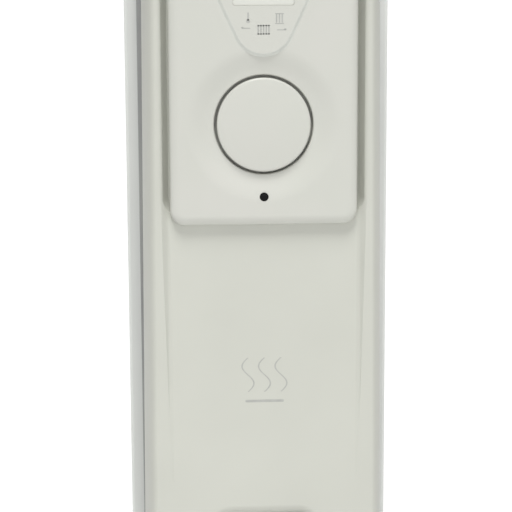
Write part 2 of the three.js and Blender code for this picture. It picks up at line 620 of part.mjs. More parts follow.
const boardBack = front(CONTROL_BOARD_REACH);
piece("control_board", join(
  block(-40, 40, front(CONTROL_BOARD_REACH + BOARD), boardBack, DIAL_HEIGHT - 37, DIAL_HEIGHT + 109),
  block(-9, 9, boardBack - 0.5, boardBack + 2.4, DIAL_HEIGHT + 30, DIAL_HEIGHT + 42), // processor
  block(-34, -16, boardBack - 0.5, boardBack + 7, DIAL_HEIGHT - 24, DIAL_HEIGHT - 18), // ribbon connector
  block(18, 34, boardBack - 0.5, boardBack + 6, DIAL_HEIGHT + 70, DIAL_HEIGHT + 76), // sensor connector
), boardGreen);
piece("receiver_lens", rod(
  "y", RECEIVER_RADIUS, front(FACE_REACH + 0.4), front(CONTROL_BOARD_REACH + BOARD + GAP), 12,
  0, 0, DIAL_HEIGHT - RECEIVER_BELOW_DIAL), blackPlastic);

// The rotary encoder: its code wheel turns with the shaft, and the shaft slides through it.
const encoderBack = CONTROL_BOARD_REACH + BOARD + GAP;
piece("encoder_body", cut(
  block(-8, 8, front(encoderBack + 4.7), front(encoderBack), DIAL_HEIGHT - 8, DIAL_HEIGHT + 8),
  rod("y", 6.4, front(encoderBack + 6), front(encoderBack + 0.8), 16, 0, 0, DIAL_HEIGHT),
), blackPlastic);
piece("encoder_wheel", cut(
  rod("y", 5.8, front(encoderBack + 4.4), front(encoderBack + 3), 16, 0, 0, DIAL_HEIGHT),
  rod("y", SHAFT_RADIUS + 0.5, front(encoderBack + 5), front(encoderBack + 2), 12, 0, 0, DIAL_HEIGHT),
), brass);
const hubReach = encoderBack + 6.1;
piece("dial_shaft", rod(
  "y", SHAFT_RADIUS, front(FACE_REACH - 2.8), front(encoderBack + 2.1), 12, 0, 0, DIAL_HEIGHT), zincSteel);
function dialKnob() {
  const face = [
    [0, front(FACE_REACH + DIAL_CROWN)], [DIAL_RADIUS * 0.6, front(FACE_REACH + DIAL_CROWN * 0.7)],
    [DIAL_RADIUS - 1.2, front(FACE_REACH + 0.1)], [DIAL_RADIUS, front(FACE_REACH - 1)],
    [DIAL_RADIUS, front(FACE_REACH - 7)], [DIAL_RADIUS - DIAL_SKIRT, front(FACE_REACH - 7)],
    [DIAL_RADIUS - DIAL_SKIRT, front(FACE_REACH - 2.4)], [0, front(FACE_REACH - 2.4)],
  ];
  return cut(
    join(turned("y", face, 28, 0, 0, DIAL_HEIGHT),
      rod("y", 6, front(FACE_REACH - 1), front(hubReach), 16, 0, 0, DIAL_HEIGHT)),
    rod("y", SHAFT_RADIUS + GAP, front(FACE_REACH - 2.4), front(hubReach - 5), 12, 0, 0, DIAL_HEIGHT),
  );
}
piece("dial_knob", dialKnob(), facePlastic);

// ---------------------------------------------------------------- electrics in the rear shell
piece("power_board", join(
  block(-46, 46, front(24 + BOARD), front(24), POWER_BASE, POWER_BASE + 110),
  block(-38, -18, front(42), front(25), POWER_BASE + 72, POWER_BASE + 100), // relay, low element
  block(-12, 8, front(42), front(25), POWER_BASE + 72, POWER_BASE + 100), // relay, high element
  block(-38, -6, front(49), front(25), POWER_BASE + 12, POWER_BASE + 46), // transformer
  rod("y", 6, front(46), front(25), 12, 12, 0, POWER_BASE + 30), // capacitor
  block(22, 40, front(38), front(25), POWER_BASE + 12, POWER_BASE + 24), // mains terminals
), boardGreen);
piece("terminal_block", join(
  block(-44, 4, front(30), front(SHELL_REAR_REACH + SHELL_WALL + GAP), POWER_BASE - 38, POWER_BASE - 24),
  block(-41, 1, front(34), front(29), POWER_BASE - 35, POWER_BASE - 27),
), rearPlastic);
piece("thermal_cutout", join(
  rod("y", cutOut.radius, front(COLUMN_RISE + SHEET + GAP + cutOut.length), front(COLUMN_RISE + SHEET + GAP),
    16, cutOut.x, 0, cutOut.z),
  block(cutOut.x - 5, cutOut.x - 3.4, front(COLUMN_RISE + SHEET + cutOut.length + 1.7), front(20), cutOut.z - 3, cutOut.z + 3),
  block(cutOut.x + 3.4, cutOut.x + 5, front(COLUMN_RISE + SHEET + cutOut.length + 1.7), front(20), cutOut.z - 3, cutOut.z + 3),
), blackPlastic);
piece("room_sensor", join(
  block(-34, -16, front(33), front(25), SHELL_BASE + SHELL_WALL + GAP, SHELL_BASE + 8),
  rod("z", 2, SHELL_BASE + 7, SHELL_BASE + 16, 10, -25, front(29)),
), blackPlastic);

// The tip-over switch: a bob hangs on a pin in an open-fronted case.
const tilt = { x: 45, z: POWER_BASE - 86, arm: 10, bob: 4.5, pin: 1.5, back: SHELL_REAR_REACH + SHELL_WALL + GAP };
piece("tilt_switch_case", join(
  cut(
    block(tilt.x - 13, tilt.x + 13, front(tilt.back + 14), front(tilt.back), tilt.z - 20, tilt.z + 6),
    block(tilt.x - 11, tilt.x + 11, front(tilt.back + 15), front(tilt.back + 2), tilt.z - 18, tilt.z + 4),
  ),
  rod("y", tilt.pin, front(tilt.back + 12), front(tilt.back + 1), 10, tilt.x, 0, tilt.z),
), rearPlastic);
piece("tilt_switch_bob", cut(
  join(
    block(tilt.x - 1.5, tilt.x + 1.5, front(tilt.back + 8), front(tilt.back + 5), tilt.z - tilt.arm, tilt.z),
    rod("y", 3.2, front(tilt.back + 8), front(tilt.back + 5), 12, tilt.x, 0, tilt.z),
    rod("y", tilt.bob, front(tilt.back + 10.5), front(tilt.back + 3.5), 12, tilt.x, 0, tilt.z - tilt.arm),
  ),
  rod("y", tilt.pin + GAP, front(tilt.back + 12), front(tilt.back + 1), 12, tilt.x, 0, tilt.z),
), zincSteel);

// ---------------------------------------------------------------- feet
// A pressed channel across the heater, open below, with a socket for a castor's stem at each end.
function foot() {
  const plan = (inset) => roundedOutline(
    FOOT_WIDTH - 2 * inset, -FOOT_DEPTH / 2 + inset, FOOT_DEPTH / 2 - inset, FOOT_DEPTH / 2 - 2 - inset);
  const channel = cut(
    alongZ(plan(0), FOOT_BASE, FOOT_TOP), alongZ(plan(FOOT_SHEET), FOOT_BASE - 1, FOOT_TOP - FOOT_SHEET));
  const legX = COLLAR_RADIUS + GAP + BOLT_WIRE;
  const sockets = [-1, 1].map((side) =>
    rod("z", 9, FOOT_BASE, FOOT_TOP - 1, 10, (side * CASTOR_SPAN) / 2));
  const holes = [-1, 1].flatMap((side) => [
    rod("z", STEM_RADIUS + GAP, FOOT_BASE - 1, FOOT_TOP - FOOT_SHEET, 10, (side * CASTOR_SPAN) / 2),
    rod("z", BOLT_WIRE + GAP, FOOT_BASE - 1, FOOT_TOP + 1, 8, side * legX),
  ]);
  return cut(join(channel, ...sockets), ...holes);
}

// A U-bolt over the lower header, between two fins.
const uBolt = () => {
  const radius = COLLAR_RADIUS + GAP + BOLT_WIRE;
  return hairpin(BOLT_WIRE, radius, LOWER_HEADER - FOOT_BASE + 2, 8);
};

function wingNut() {
  const top = FOOT_TOP - FOOT_SHEET - GAP;
  const wing = new THREE.Shape();
  wing.moveTo(-5, top - 7);
  wing.lineTo(5, top - 7);
  wing.lineTo(13, top - 13);
  wing.lineTo(16, top - 9);
  wing.lineTo(5, top - 1);
  wing.lineTo(-5, top - 1);
  wing.lineTo(-16, top - 9);
  wing.lineTo(-13, top - 13);
  return cut(
    join(alongX(wing, -1.2, 1.2), rod("z", 6, top - 8, top, 12)),
    rod("z", BOLT_WIRE + GAP, top - 15, top + 1, 12),
  );
}

const feet = [["front", FRONT_FOOT_Y], ["rear", REAR_FOOT_Y]];
for (const [end, y] of feet) {
  piece("foot_" + end, foot(), finEnamel).position.y = y;
  piece("u_bolt_" + end, uBolt(), zincSteel).position.set(0, y, LOWER_HEADER);
  for (const [side, sign] of [["left", -1], ["right", 1]]) {
    const nut = piece("wing_nut_" + end + "_" + side, wingNut(), zincSteel);
    nut.position.set(sign * (COLLAR_RADIUS + GAP + BOLT_WIRE), y, 0);
  }
}

// ---------------------------------------------------------------- castors
// Drawn about the stem's axis, with the wheel trailing along +Y.
function castorFork() {
  const inner = WHEEL_WIDTH / 2 + 1.2;
  const outer = inner + 2.8;
  const arch = WHEEL_RADIUS + 2.2;
  const crown = AXLE_HEIGHT + arch + 2.6;
  const cheek = new THREE.Shape();
  cheek.absarc(CASTOR_TRAIL, AXLE_HEIGHT, arch + 2.4, Math.PI * 0.06, Math.PI * 0.94);
  cheek.lineTo(CASTOR_TRAIL - 8, AXLE_HEIGHT - 3);
  cheek.absarc(CASTOR_TRAIL, AXLE_HEIGHT, 7, Math.PI * 1.15, Math.PI * 1.85);
  const solidFork = join(
    alongX(cheek, -outer, outer, 3),
    rod("z", 12, AXLE_HEIGHT + 10, crown + 3, 12),
    rod("z", STEM_RADIUS, crown, FOOT_TOP - FOOT_SHEET - 1, 12),
  );
  const wheelRoom = new THREE.Shape();
  wheelRoom.absarc(CASTOR_TRAIL, AXLE_HEIGHT, arch, 0, 2 * Math.PI);
  return cut(
    solidFork, alongX(wheelRoom, -inner, inner, 6),
    block(-inner, inner, -30, 60, -10, AXLE_HEIGHT - 2),
    rod("x", AXLE_RADIUS + GAP, -outer - 1, outer + 1, 12, 0, CASTOR_TRAIL, AXLE_HEIGHT),
  );
}
function castorWheel() {
  const half = WHEEL_WIDTH / 2;
  const bore = AXLE_RADIUS + GAP;
  const rim = [
    [bore, -half], [WHEEL_RADIUS - 2, -half], [WHEEL_RADIUS, -half + 2.5], [WHEEL_RADIUS, half - 2.5],
    [WHEEL_RADIUS - 2, half], [bore, half], [bore, -half],
  ];
  // The flat that it stands on is level.
  return turned("x", rim, WHEEL_SIDES, 0, 0, 0, Math.PI / WHEEL_SIDES);
}
for (const [end, y] of feet) {
  for (const [side, sign] of [["left", -1], ["right", 1]]) {
    const castor = new THREE.Group();
    castor.position.set((sign * CASTOR_SPAN) / 2, y, 0);
    const place = end + "_" + side;
    piece("castor_fork_" + place, castorFork(), blackPlastic, castor);
    piece("castor_wheel_" + place, castorWheel(), nylon, castor).position.set(0, CASTOR_TRAIL, AXLE_HEIGHT);
    const axle = join(
      rod("x", AXLE_RADIUS, -WHEEL_WIDTH / 2 - 4.4, WHEEL_WIDTH / 2 + 4.4, 12),
      rod("x", AXLE_RADIUS + 1.4, WHEEL_WIDTH / 2 + 4.3, WHEEL_WIDTH / 2 + 5.6, 12),
    );
    piece("castor_axle_" + place, axle, zincSteel, castor).position.set(0, CASTOR_TRAIL, AXLE_HEIGHT);
    heater.add(castor);
  }
}

export default heater;
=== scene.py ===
"""Oil-filled radiator heater: the finished look of each piece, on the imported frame.

Metres, +Z up. The control face looks along -Y. Run as a script in Blender 4.5.
"""

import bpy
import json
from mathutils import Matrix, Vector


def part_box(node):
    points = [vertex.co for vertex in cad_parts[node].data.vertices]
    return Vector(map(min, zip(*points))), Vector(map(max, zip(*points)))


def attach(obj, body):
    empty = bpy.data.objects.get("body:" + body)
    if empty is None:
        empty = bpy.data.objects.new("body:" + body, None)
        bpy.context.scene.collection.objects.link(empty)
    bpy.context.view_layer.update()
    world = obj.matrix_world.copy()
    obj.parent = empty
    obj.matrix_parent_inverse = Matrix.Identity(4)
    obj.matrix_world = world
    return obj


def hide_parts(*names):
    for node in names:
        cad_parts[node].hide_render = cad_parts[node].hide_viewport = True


bl_info = {
    "name": "Oil Filled Radiator Heater",
    "version": (1, 0, 0),
    "blender": (4, 5, 0),
    "location": "3D View > Sidebar > Heater",
    "description": "Builds the pieces of an oil-filled radiator heater on its packed frame",
    "category": "Add Mesh",
}

import json
from math import cos, degrees, pi, radians, sin, tan

import bmesh
import bpy
from mathutils import Matrix, Vector

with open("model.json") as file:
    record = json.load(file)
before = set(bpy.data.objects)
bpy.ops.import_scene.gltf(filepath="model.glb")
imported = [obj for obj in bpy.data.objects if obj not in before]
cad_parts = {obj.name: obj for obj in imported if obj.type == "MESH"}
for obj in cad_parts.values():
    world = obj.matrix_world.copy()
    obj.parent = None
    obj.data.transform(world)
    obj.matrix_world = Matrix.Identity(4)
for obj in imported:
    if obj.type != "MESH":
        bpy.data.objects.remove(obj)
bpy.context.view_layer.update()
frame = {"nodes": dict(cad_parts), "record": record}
NODES = frame["nodes"]

MM = 0.001


def mm(*lengths):
    """Millimetres as metres."""
    return [length * MM for length in lengths]


# ---------------------------------------------------------------- meshes
def box_of(node):
    """A CAD node's lowest and highest corner, and its middle."""
    low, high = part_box(node)
    return low, high, (low + high) / 2


def rounded_corners(x0, x1, z0, z1, bottom, top=None, taper=0.0):
    """The four corner arcs of a rounded rectangle: centre x, centre z, radius, start and end angle.

    The top is narrower by the taper on each side.
    """
    top = bottom if top is None else top
    return [
        (x0 + bottom, z0 + bottom, bottom, 180, 270),
        (x1 - bottom, z0 + bottom, bottom, 270, 360),
        (x1 - top - taper, z1 - top, top, 0, 90),
        (x0 + top + taper, z1 - top, top, 90, 180),
    ]


def centred(x, z, half_x, half_z, radius):
    """The corner arcs of a rounded rectangle round a middle point."""
    return rounded_corners(x - half_x, x + half_x, z - half_z, z + half_z, radius)


def loop_of(bm, corners, y, steps=12):
    """A ring of vertices at depth y through corner arcs, in order. Angles are from +X towards +Z."""
    ring = []
    for x, z, radius, start, end in corners:
        angle = radians(start)
        first = bm.verts.new((x + radius * cos(angle), y, z + radius * sin(angle)))
        ring.append(first)
        turn = radians(end - start)
        bmesh.ops.spin(bm, geom=[first], cent=(x, y, z), axis=(0, -1, 0), angle=turn, steps=steps)
        walker, seen = first, {first}
        while ahead := [v for v in (e.other_vert(walker) for e in walker.link_edges) if v not in seen]:
            walker = ahead[0]
            seen.add(walker)
            ring.append(walker)
    return ring


def face_of(bm, corners, y, steps=12):
    """A flat face through corner arcs at depth y, looking the way the control face does."""
    face = bm.faces.new(loop_of(bm, corners, y, steps))
    face.normal_update()
    if face.normal.y > 0:
        face.normal_flip()
    return face


def step_in(bm, face, inward, forward):
    """The face moves in from its outline and out along its normal, and leaves a sloping wall behind."""
    bmesh.ops.inset_individual(bm, faces=[face], thickness=inward, depth=forward, use_even_offset=True)
    return face


def rise(bm, face, distance):
    """The face moves along its normal and leaves straight walls behind."""
    made = bmesh.ops.extrude_face_region(bm, geom=[face])
    top = [g for g in made["geom"] if isinstance(g, bmesh.types.BMFace)][0]
    moved = [g for g in made["geom"] if isinstance(g, bmesh.types.BMVert)]
    top.normal_update()
    bmesh.ops.translate(bm, verts=moved, vec=top.normal * distance)
    if face.is_valid:
        bmesh.ops.delete(bm, geom=[face], context="FACES_ONLY")
    return top


def round_over(bm, face, inward, forward, steps):
    """A quarter-ellipse edge: from straight walls to a flat top."""
    for i in range(steps):
        a, b = radians(90 * i / steps), radians(90 * (i + 1) / steps)
        step_in(bm, face, inward * (cos(a) - cos(b)), forward * (sin(b) - sin(a)))
    return face


def ease(t):
    """From 0 to 1, slow at both ends."""
    return t * t * (3 - 2 * t)


def soft_steps(inward, forward, count):
    """Steps of a slope that starts and ends level."""
    return [(inward / count, forward * (ease((i + 1) / count) - ease(i / count))) for i in range(count)]


def close(bm):
    """Fills the open rim, turns every normal outwards and gives the new face back."""
    cap = bmesh.ops.contextual_create(bm, geom=[e for e in bm.edges if e.is_boundary])["faces"][0]
    bmesh.ops.recalc_face_normals(bm, faces=bm.faces)
    return cap


def slab(corners, y_back, y_front, edge=0.0, rear_edge=0.0, steps=12, edge_steps=5):
    """A closed plate through corner arcs, from its back to its front, with rounded edges."""
    bm = bmesh.new()
    back = face_of(bm, corners, y_back - rear_edge, steps)
    front = rise(bm, back, (y_back - rear_edge) - (y_front + edge))
    if edge:
        round_over(bm, front, edge, edge, edge_steps)
    cap = close(bm)
    if rear_edge:
        round_over(bm, cap, rear_edge, rear_edge, edge_steps)
    return bm


def lip(inward, deeper, count):
    """Steps of a rounded lip that turns from a face down into a wall."""
    turns = [radians(90 * i / count) for i in range(count + 1)]
    return [(inward * (sin(b) - sin(a)), deeper * (cos(a) - cos(b))) for a, b in zip(turns, turns[1:])]


def well(corners, mouth, profile, straight=0.0, steps=20):
    """A cutter that narrows from its mouth. The profile is (inward, deeper) steps, then a straight wall."""
    bm = bmesh.new()
    face = face_of(bm, corners, mouth - 6 * MM, steps)
    face.normal_flip()
    face = rise(bm, face, 6 * MM)
    for inward, deeper in profile:
        step_in(bm, face, inward, deeper)
    if straight:
        rise(bm, face, straight)
    close(bm)
    return bm


def swung(bm, turn, axis, centre=(0, 0, 0)):
    """The whole bmesh turned by degrees about an axis through a point."""
    matrix = Matrix.Rotation(radians(turn), 3, axis)
    bmesh.ops.rotate(bm, verts=bm.verts, cent=centre, matrix=matrix)
    return bm


def moved(bm, x, y, z):
    """The whole bmesh shifted."""
    bmesh.ops.translate(bm, verts=bm.verts, vec=(x, y, z))
    return bm


def pulled(bm, edges):
    """Extrudes edges in place and gives the new vertices and the new edges that join them."""
    made = bmesh.ops.extrude_edge_only(bm, edges=edges)["geom"]
    verts = [g for g in made if isinstance(g, bmesh.types.BMVert)]
    return verts, [g for g in made if isinstance(g, bmesh.types.BMEdge) and all(v in verts for v in g.verts)]


def turned(profile, centre, axis="Y", steps=64):
    """A solid of revolution, from (radius, place along the axis) pairs. The centre is on the axis."""
    bm = bmesh.new()
    cx, cy, cz = centre
    place = {
        "Y": lambda r, a: (cx + r, cy + a, cz),
        "Z": lambda r, a: (cx + r, cy, cz + a),
        "X": lambda r, a: (cx + a, cy, cz + r),
    }[axis]
    verts = [bm.verts.new(place(r, a)) for r, a in profile]
    edges = [bm.edges.new(pair) for pair in zip(verts, verts[1:])]
    direction = {"X": (1, 0, 0), "Y": (0, 1, 0), "Z": (0, 0, 1)}[axis]
    bmesh.ops.spin(
        bm, geom=verts + edges, cent=centre, axis=direction, angle=2 * pi, steps=steps, use_merge=True
    )
    bmesh.ops.remove_doubles(bm, verts=bm.verts, dist=1e-7)
    bmesh.ops.recalc_face_normals(bm, faces=bm.faces)
    return bm


def drum(radius, half, centre, axis, steps):
    """A plain round cutter that reaches as far to both sides of its centre."""
    return turned([(0, -half), (radius, -half), (radius, half), (0, half)], centre, axis, steps)


def arc(x, z, radius, start, end, steps):
    """Points on an arc, for a turned piece's profile."""
    turns = [radians(start + (end - start) * i / steps) for i in range(steps + 1)]
    return [(x + radius * cos(a), z + radius * sin(a)) for a in turns]


def bent_wire(points, radius, sides=12):
    """A round wire along points, with flat ends. It starts upwards."""
    bm = bmesh.new()
    path = [Vector(point) for point in points]
    ring = bmesh.ops.create_circle(bm, segments=sides, radius=radius, cap_ends=True)["verts"]
    bmesh.ops.translate(bm, verts=ring, vec=path[0])
    face = ring[0].link_faces[0]
    along = Vector((0, 0, 1))
    for here, there in zip(path, path[1:]):
        made = bmesh.ops.extrude_face_region(bm, geom=[face])["geom"]
        if face.is_valid:
            bmesh.ops.delete(bm, geom=[face], context="FACES_ONLY")
        verts = [g for g in made if isinstance(g, bmesh.types.BMVert)]
        face = next(g for g in made if isinstance(g, bmesh.types.BMFace))
        ahead = (there - here).normalized()
        turn = along.rotation_difference(ahead).to_matrix()
        bmesh.ops.rotate(bm, verts=verts, cent=here, matrix=turn)
        bmesh.ops.translate(bm, verts=verts, vec=there - here)
        along = ahead
    close(bm)
    return bm


def merged(*parts):
    """Several bmeshes as one."""
    whole = bmesh.new()
    for part in parts:
        mesh = bpy.data.meshes.new("part")
        part.to_mesh(mesh)
        part.free()
        whole.from_mesh(mesh)
        bpy.data.meshes.remove(mesh)
    return whole


def cut_by(bm, *cutters, operation="DIFFERENCE"):
    """The solid with each cutter taken out of it, or with UNION joined to it."""
    mesh = bpy.data.meshes.new("work")
    bm.to_mesh(mesh)
    bm.free()
    work = bpy.data.objects.new("work", mesh)
    bpy.context.scene.collection.objects.link(work)
    tools = []
    for cutter in cutters:
        tool_mesh = bpy.data.meshes.new("tool")
        cutter.to_mesh(tool_mesh)
        cutter.free()
        tool = bpy.data.objects.new("tool", tool_mesh)
        bpy.context.scene.collection.objects.link(tool)
        tools.append(tool)
        cut = work.modifiers.new("cut", "BOOLEAN")
        cut.operation = operation
        cut.solver = "EXACT"
        cut.object = tool
    bpy.context.view_layer.update()
    done = work.evaluated_get(bpy.context.evaluated_depsgraph_get())
    result = bmesh.new()
    result.from_mesh(done.to_mesh())
    done.to_mesh_clear()
    for spare in [work, *tools]:
        data = spare.data
        bpy.data.objects.remove(spare)
        bpy.data.meshes.remove(data)
    if not result.faces:
        raise RuntimeError("a cut left nothing")
    bmesh.ops.remove_doubles(result, verts=result.verts, dist=2e-6)
    return result


def finish_piece(bm, name, look, *stands_for, slot=None, body="radiator", smooth_angle=35, trim=None):
    """The bmesh as a named object with its material, smooth but for its sharp edges, on its CAD body.

    The CAD nodes named, if any, are hidden, for the piece to show in their place. The slot argument is not
    used.
    The trim is a second look, for the faces whose material index is 1.
    """
    for face in bm.faces:
        face.smooth = True
    bm.normal_update()
    for edge in bm.edges:
        edge.smooth = edge.is_manifold and edge.calc_face_angle(0) < radians(smooth_angle)
    mesh = bpy.data.meshes.new(name)
    bm.to_mesh(mesh)
    bm.free()
    mesh.materials.append(finish(look))
    if trim:
        mesh.materials.append(finish(trim))
    piece = bpy.data.objects.new(name, mesh)
    bpy.context.scene.collection.objects.link(piece)
    weighted = piece.modifiers.new("even shading", "WEIGHTED_NORMAL")
    weighted.keep_sharp = True
    weighted.weight = 60
    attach(piece, body)
    if stands_for:
        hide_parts(*stands_for)


# ---------------------------------------------------------------- materials
def linear(srgb_hex):
    """An sRGB hex colour as linear RGBA."""
    parts = [int(srgb_hex[i : i + 2], 16) / 255 for i in (1, 3, 5)]
    return (*(c / 12.92 if c <= 0.04045 else ((c + 0.055) / 1.055) ** 2.4 for c in parts), 1.0)


def add_node(tree, kind, links=None, **settings):
    """A node with its settings, where a key that names an input sets it, and its links to other sockets."""
    node = tree.nodes.new(kind)
    for key, value in settings.items():
        label = key.replace("_", " ")
        match = [s for s in node.inputs if s.name.lower() == label.lower() and s.enabled]
        if match and not hasattr(type(node), key):
            match[0].default_value = value
        else:
            setattr(node, key, value)
    for socket, source in (links or {}).items():
        tree.links.new(source, node.inputs[socket])
    return node


def new_material(name):
    """An empty material: its tree, its Principled shader and the piece's own coordinates."""
    material = bpy.data.materials.new(name)
    material.use_nodes = True
    tree = material.node_tree
    tree.nodes.clear()
    shader = add_node(tree, "ShaderNodeBsdfPrincipled")
    add_node(tree, "ShaderNodeOutputMaterial", {"Surface": shader.outputs["BSDF"]})
    place = add_node(tree, "ShaderNodeTexCoord").outputs["Object"]
    return material, tree, shader, place


def surface(name, colour, shade, grain, patch, roughness, bump, base=None, spread=0.06):
    """What every moulded, painted or plated surface here shares.

    Colour drifts towards a shade in soft patches, roughness varies with them, and a fine grain
    lifts the surface. Grain and patch are feature sizes, and bump is a height, in millimetres.
    """
    material, tree, shader, place = new_material(name)
    patches = add_node(
        tree, "ShaderNodeTexNoise", {"Vector": place}, Scale=1 / (patch * MM), Detail=2.0, Roughness=0.5
    ).outputs["Fac"]
    colours = add_node(tree, "ShaderNodeValToRGB", {"Fac": patches})
    for stop, position, tone in zip(colours.color_ramp.elements, (0.35, 0.65), (shade, colour)):
        stop.position = position
        stop.color = linear(tone)
    tree.links.new(colours.outputs["Color"], shader.inputs["Base Color"])
    gloss = add_node(tree, "ShaderNodeMapRange", {"Value": patches})
    gloss.inputs["To Min"].default_value = roughness - spread
    gloss.inputs["To Max"].default_value = roughness + spread
    tree.links.new(gloss.outputs["Result"], shader.inputs["Roughness"])
    grains = add_node(
        tree, "ShaderNodeTexNoise", {"Vector": place}, Scale=1 / (grain * MM), Detail=3.0, Roughness=0.6
    ).outputs["Fac"]
    relief = add_node(tree, "ShaderNodeBump", {"Height": grains}, Strength=1.0, Distance=bump * MM)
    tree.links.new(relief.outputs["Normal"], shader.inputs["Normal"])
    for key, value in (base or {}).items():
        shader.inputs[key].default_value = value
    return material


def hex_of(colour):
    """A colour property, which holds linear values, as sRGB hex."""
    coded = [12.92 * c if c <= 0.0031308 else 1.055 * c ** (1 / 2.4) - 0.055 for c in colour[:3]]
    return "#" + "".join(f"{round(255 * min(max(c, 0), 1)):02X}" for c in coded)


METAL = {"Metallic": 1.0}

# Arguments of surface() by material slot or look. A colour without # is a property of HeaterFinish.
# The real grains are 0.05 to 0.2 mm and too fine to show, so they are drawn coarser and very low.
LOOKS = {
    # ABS, injection moulded in a spark-eroded tool: off-white and satin, with a fine matt grain.
    "case_plastic": ("spark_grained_abs", "case_colour", "#BABBB2", 0.6, 60, 0.46, 0.006),
    # ABS, injection moulded in a polished tool: the same off-white, smoother and a little glossier.
    "face_plastic": ("polished_abs", "face_colour", "#BEBFB7", 0.8, 50, 0.38, 0.003),
    # Pressed steel with baked enamel: cool pale grey, satin, with the slight orange peel of sprayed paint.
    "enamelled_steel": ("baked_enamel", "fin_colour", "#D4D6D2", 2.5, 80, 0.4, 0.02,
                        {"Coat Weight": 0.15, "Coat Roughness": 0.25}),
    # ABS, moulded without a finish: plain satin grey, on the unseen side of the housing.
    "inner_plastic": ("plain_abs", "#CBCCC8", "#C3C4BF", 0.8, 40, 0.5, 0.005),
    # Steel with heat-proof grey paint: dull, nearly matt. Its grey is kept dark as painted shade, for the gap
    # between the cover and the first fin.
    "shield_steel": ("stove_paint", "#999A97", "#909190", 1.5, 60, 0.6, 0.01),
    # Polyamide, moulded black: a soft sheen over a fine grain.
    "black_plastic": ("black_polyamide", "#1D1E20", "#17181A", 0.5, 25, 0.42, 0.008),
    # Glass-epoxy board under green solder mask: a smooth deep green.
    "circuit_board": ("solder_mask", "#2C6B45", "#265E3C", 1.2, 20, 0.32, 0.006),
    # Nitrile rubber, moulded: black and matt.
    "gasket_rubber": ("nitrile_rubber", "#232325", "#1D1D1F", 0.6, 15, 0.75, 0.01),
    # Brass strip, stamped: yellow and bright, a little tarnished in patches.
    "brass": ("stamped_brass", "#C9A45C", "#BD974F", 0.4, 8, 0.32, 0.004, METAL),
    # Steel wire and sheet with bright zinc: grey with a soft spangle of lighter and darker patches.
    "zinc_steel": ("zinc_plate", "#C8CACC", "#B4B7BA", 0.5, 3, 0.34, 0.006, METAL),
    # Glass-filled nylon tread: dark grey and dull, scuffed lighter in patches.
    "wheel_nylon": ("scuffed_nylon", "#48494C", "#3B3C3F", 0.7, 9, 0.6, 0.015),
    # Cast acrylic over a pale reflective display: glossy, faintly green.
    "display_window": ("clear_acrylic", "#C9CAC2", "#C6C7BF", 3, 40, 0.12, 0.0005,
                       {"Coat Weight": 0.6, "Coat Roughness": 0.05}, 0.03),
    # Pad-printed ink on the signs: flat grey, edges a little thin.
    "ink": ("pad_printed_ink", "#A2A39E", "#A9AAA5", 0.3, 3, 0.5, 0.001),
    # Painted shade on the bezel's sloping edge: a tone darker than the plastic, where its downward-facing
    # slopes fall into shade.
    "bezel_ink": ("bezel_printed_ink", "#BEC0B9", "#C3C5BE", 0.3, 6, 0.45, 0.001),
    # Acrylic dyed black, polished: it passes infra-red only, so it looks black and glossy.
    "smoked": ("smoked_acrylic", "#060607", "#080809", 1, 9, 0.2, 0.0005, {"Specular IOR Level": 0.15}),
}

FINISHES = {}


def finish(key):
    """The material for a slot or look. Each is made once."""
    if key not in FINISHES:
        name, colour, *rest = LOOKS[key]
        if not colour.startswith("#"):
            colour = hex_of(getattr(bpy.context.scene.heater_finish, colour))
        FINISHES[key] = surface(name, colour, *rest)
    return FINISHES[key]


# ---------------------------------------------------------------- properties
def colour_property(name, description, srgb_hex):
    return bpy.props.FloatVectorProperty(
        name=name, description=description, subtype="COLOR", size=4, min=0, max=1, default=linear(srgb_hex)
    )


def length_property(name, description, millimetres):
    return bpy.props.FloatProperty(
        name=name, description=description, default=millimetres * MM, unit="LENGTH", precision=5
    )


class HeaterSizes(bpy.types.PropertyGroup):
    """Sizes that a user may change."""

    ridge_width: length_property("Ridge width", "Sideways run of the cover's rounded edge", 7.4)
    ridge_depth: length_property("Ridge depth", "Front-to-back run of the cover's rounded edge", 28.4)
    cover_depth: length_property("Cover depth", "The cover's rear rim to its ridge", 29)
    cover_taper: length_property("Cover taper", "How much narrower each side of the cover is at its top", 3.5)
    dish_radius: length_property("Dish radius", "Radius of the hollow round the dial", 42)
    dish_depth: length_property("Dish depth", "Depth of the hollow round the dial", 2.2)
    well_radius: length_property("Well radius", "Radius of the hole that the dial turns in", 26.4)
    groove_gap: length_property("Groove gap", "Room at each side of the fascia", 5)


class HeaterFinish(bpy.types.PropertyGroup):
    """Colours that a user may change."""

    case_colour: colour_property("Case", "The cover, handle and cleat", "#BDBEB5")
    face_colour: colour_property("Face", "The fascia, bezel and dial", "#C0C0B9")
    fin_colour: colour_property("Fins", "The enamelled fins and feet", "#D8DAD6")


# ---------------------------------------------------------------- pieces
PANEL_END = 270 * MM  # height at which the panel has run out into the cover's face
PANEL_FALL = 3.6 * MM  # the panel's depth behind the ridge, at the fascia's foot
HEADERS = (118 * MM, 566 * MM)  # heights of the two pipes that join the fins
STEMS = 102 * MM  # the castors' stems, from the middle to each side


def panel_fall(z):
    """How far the panel lies behind the cover's ridge: deepest at the fascia, and nothing at its end."""
    return PANEL_FALL * (z - PANEL_END) / (box_of("fascia")[0].z - PANEL_END)


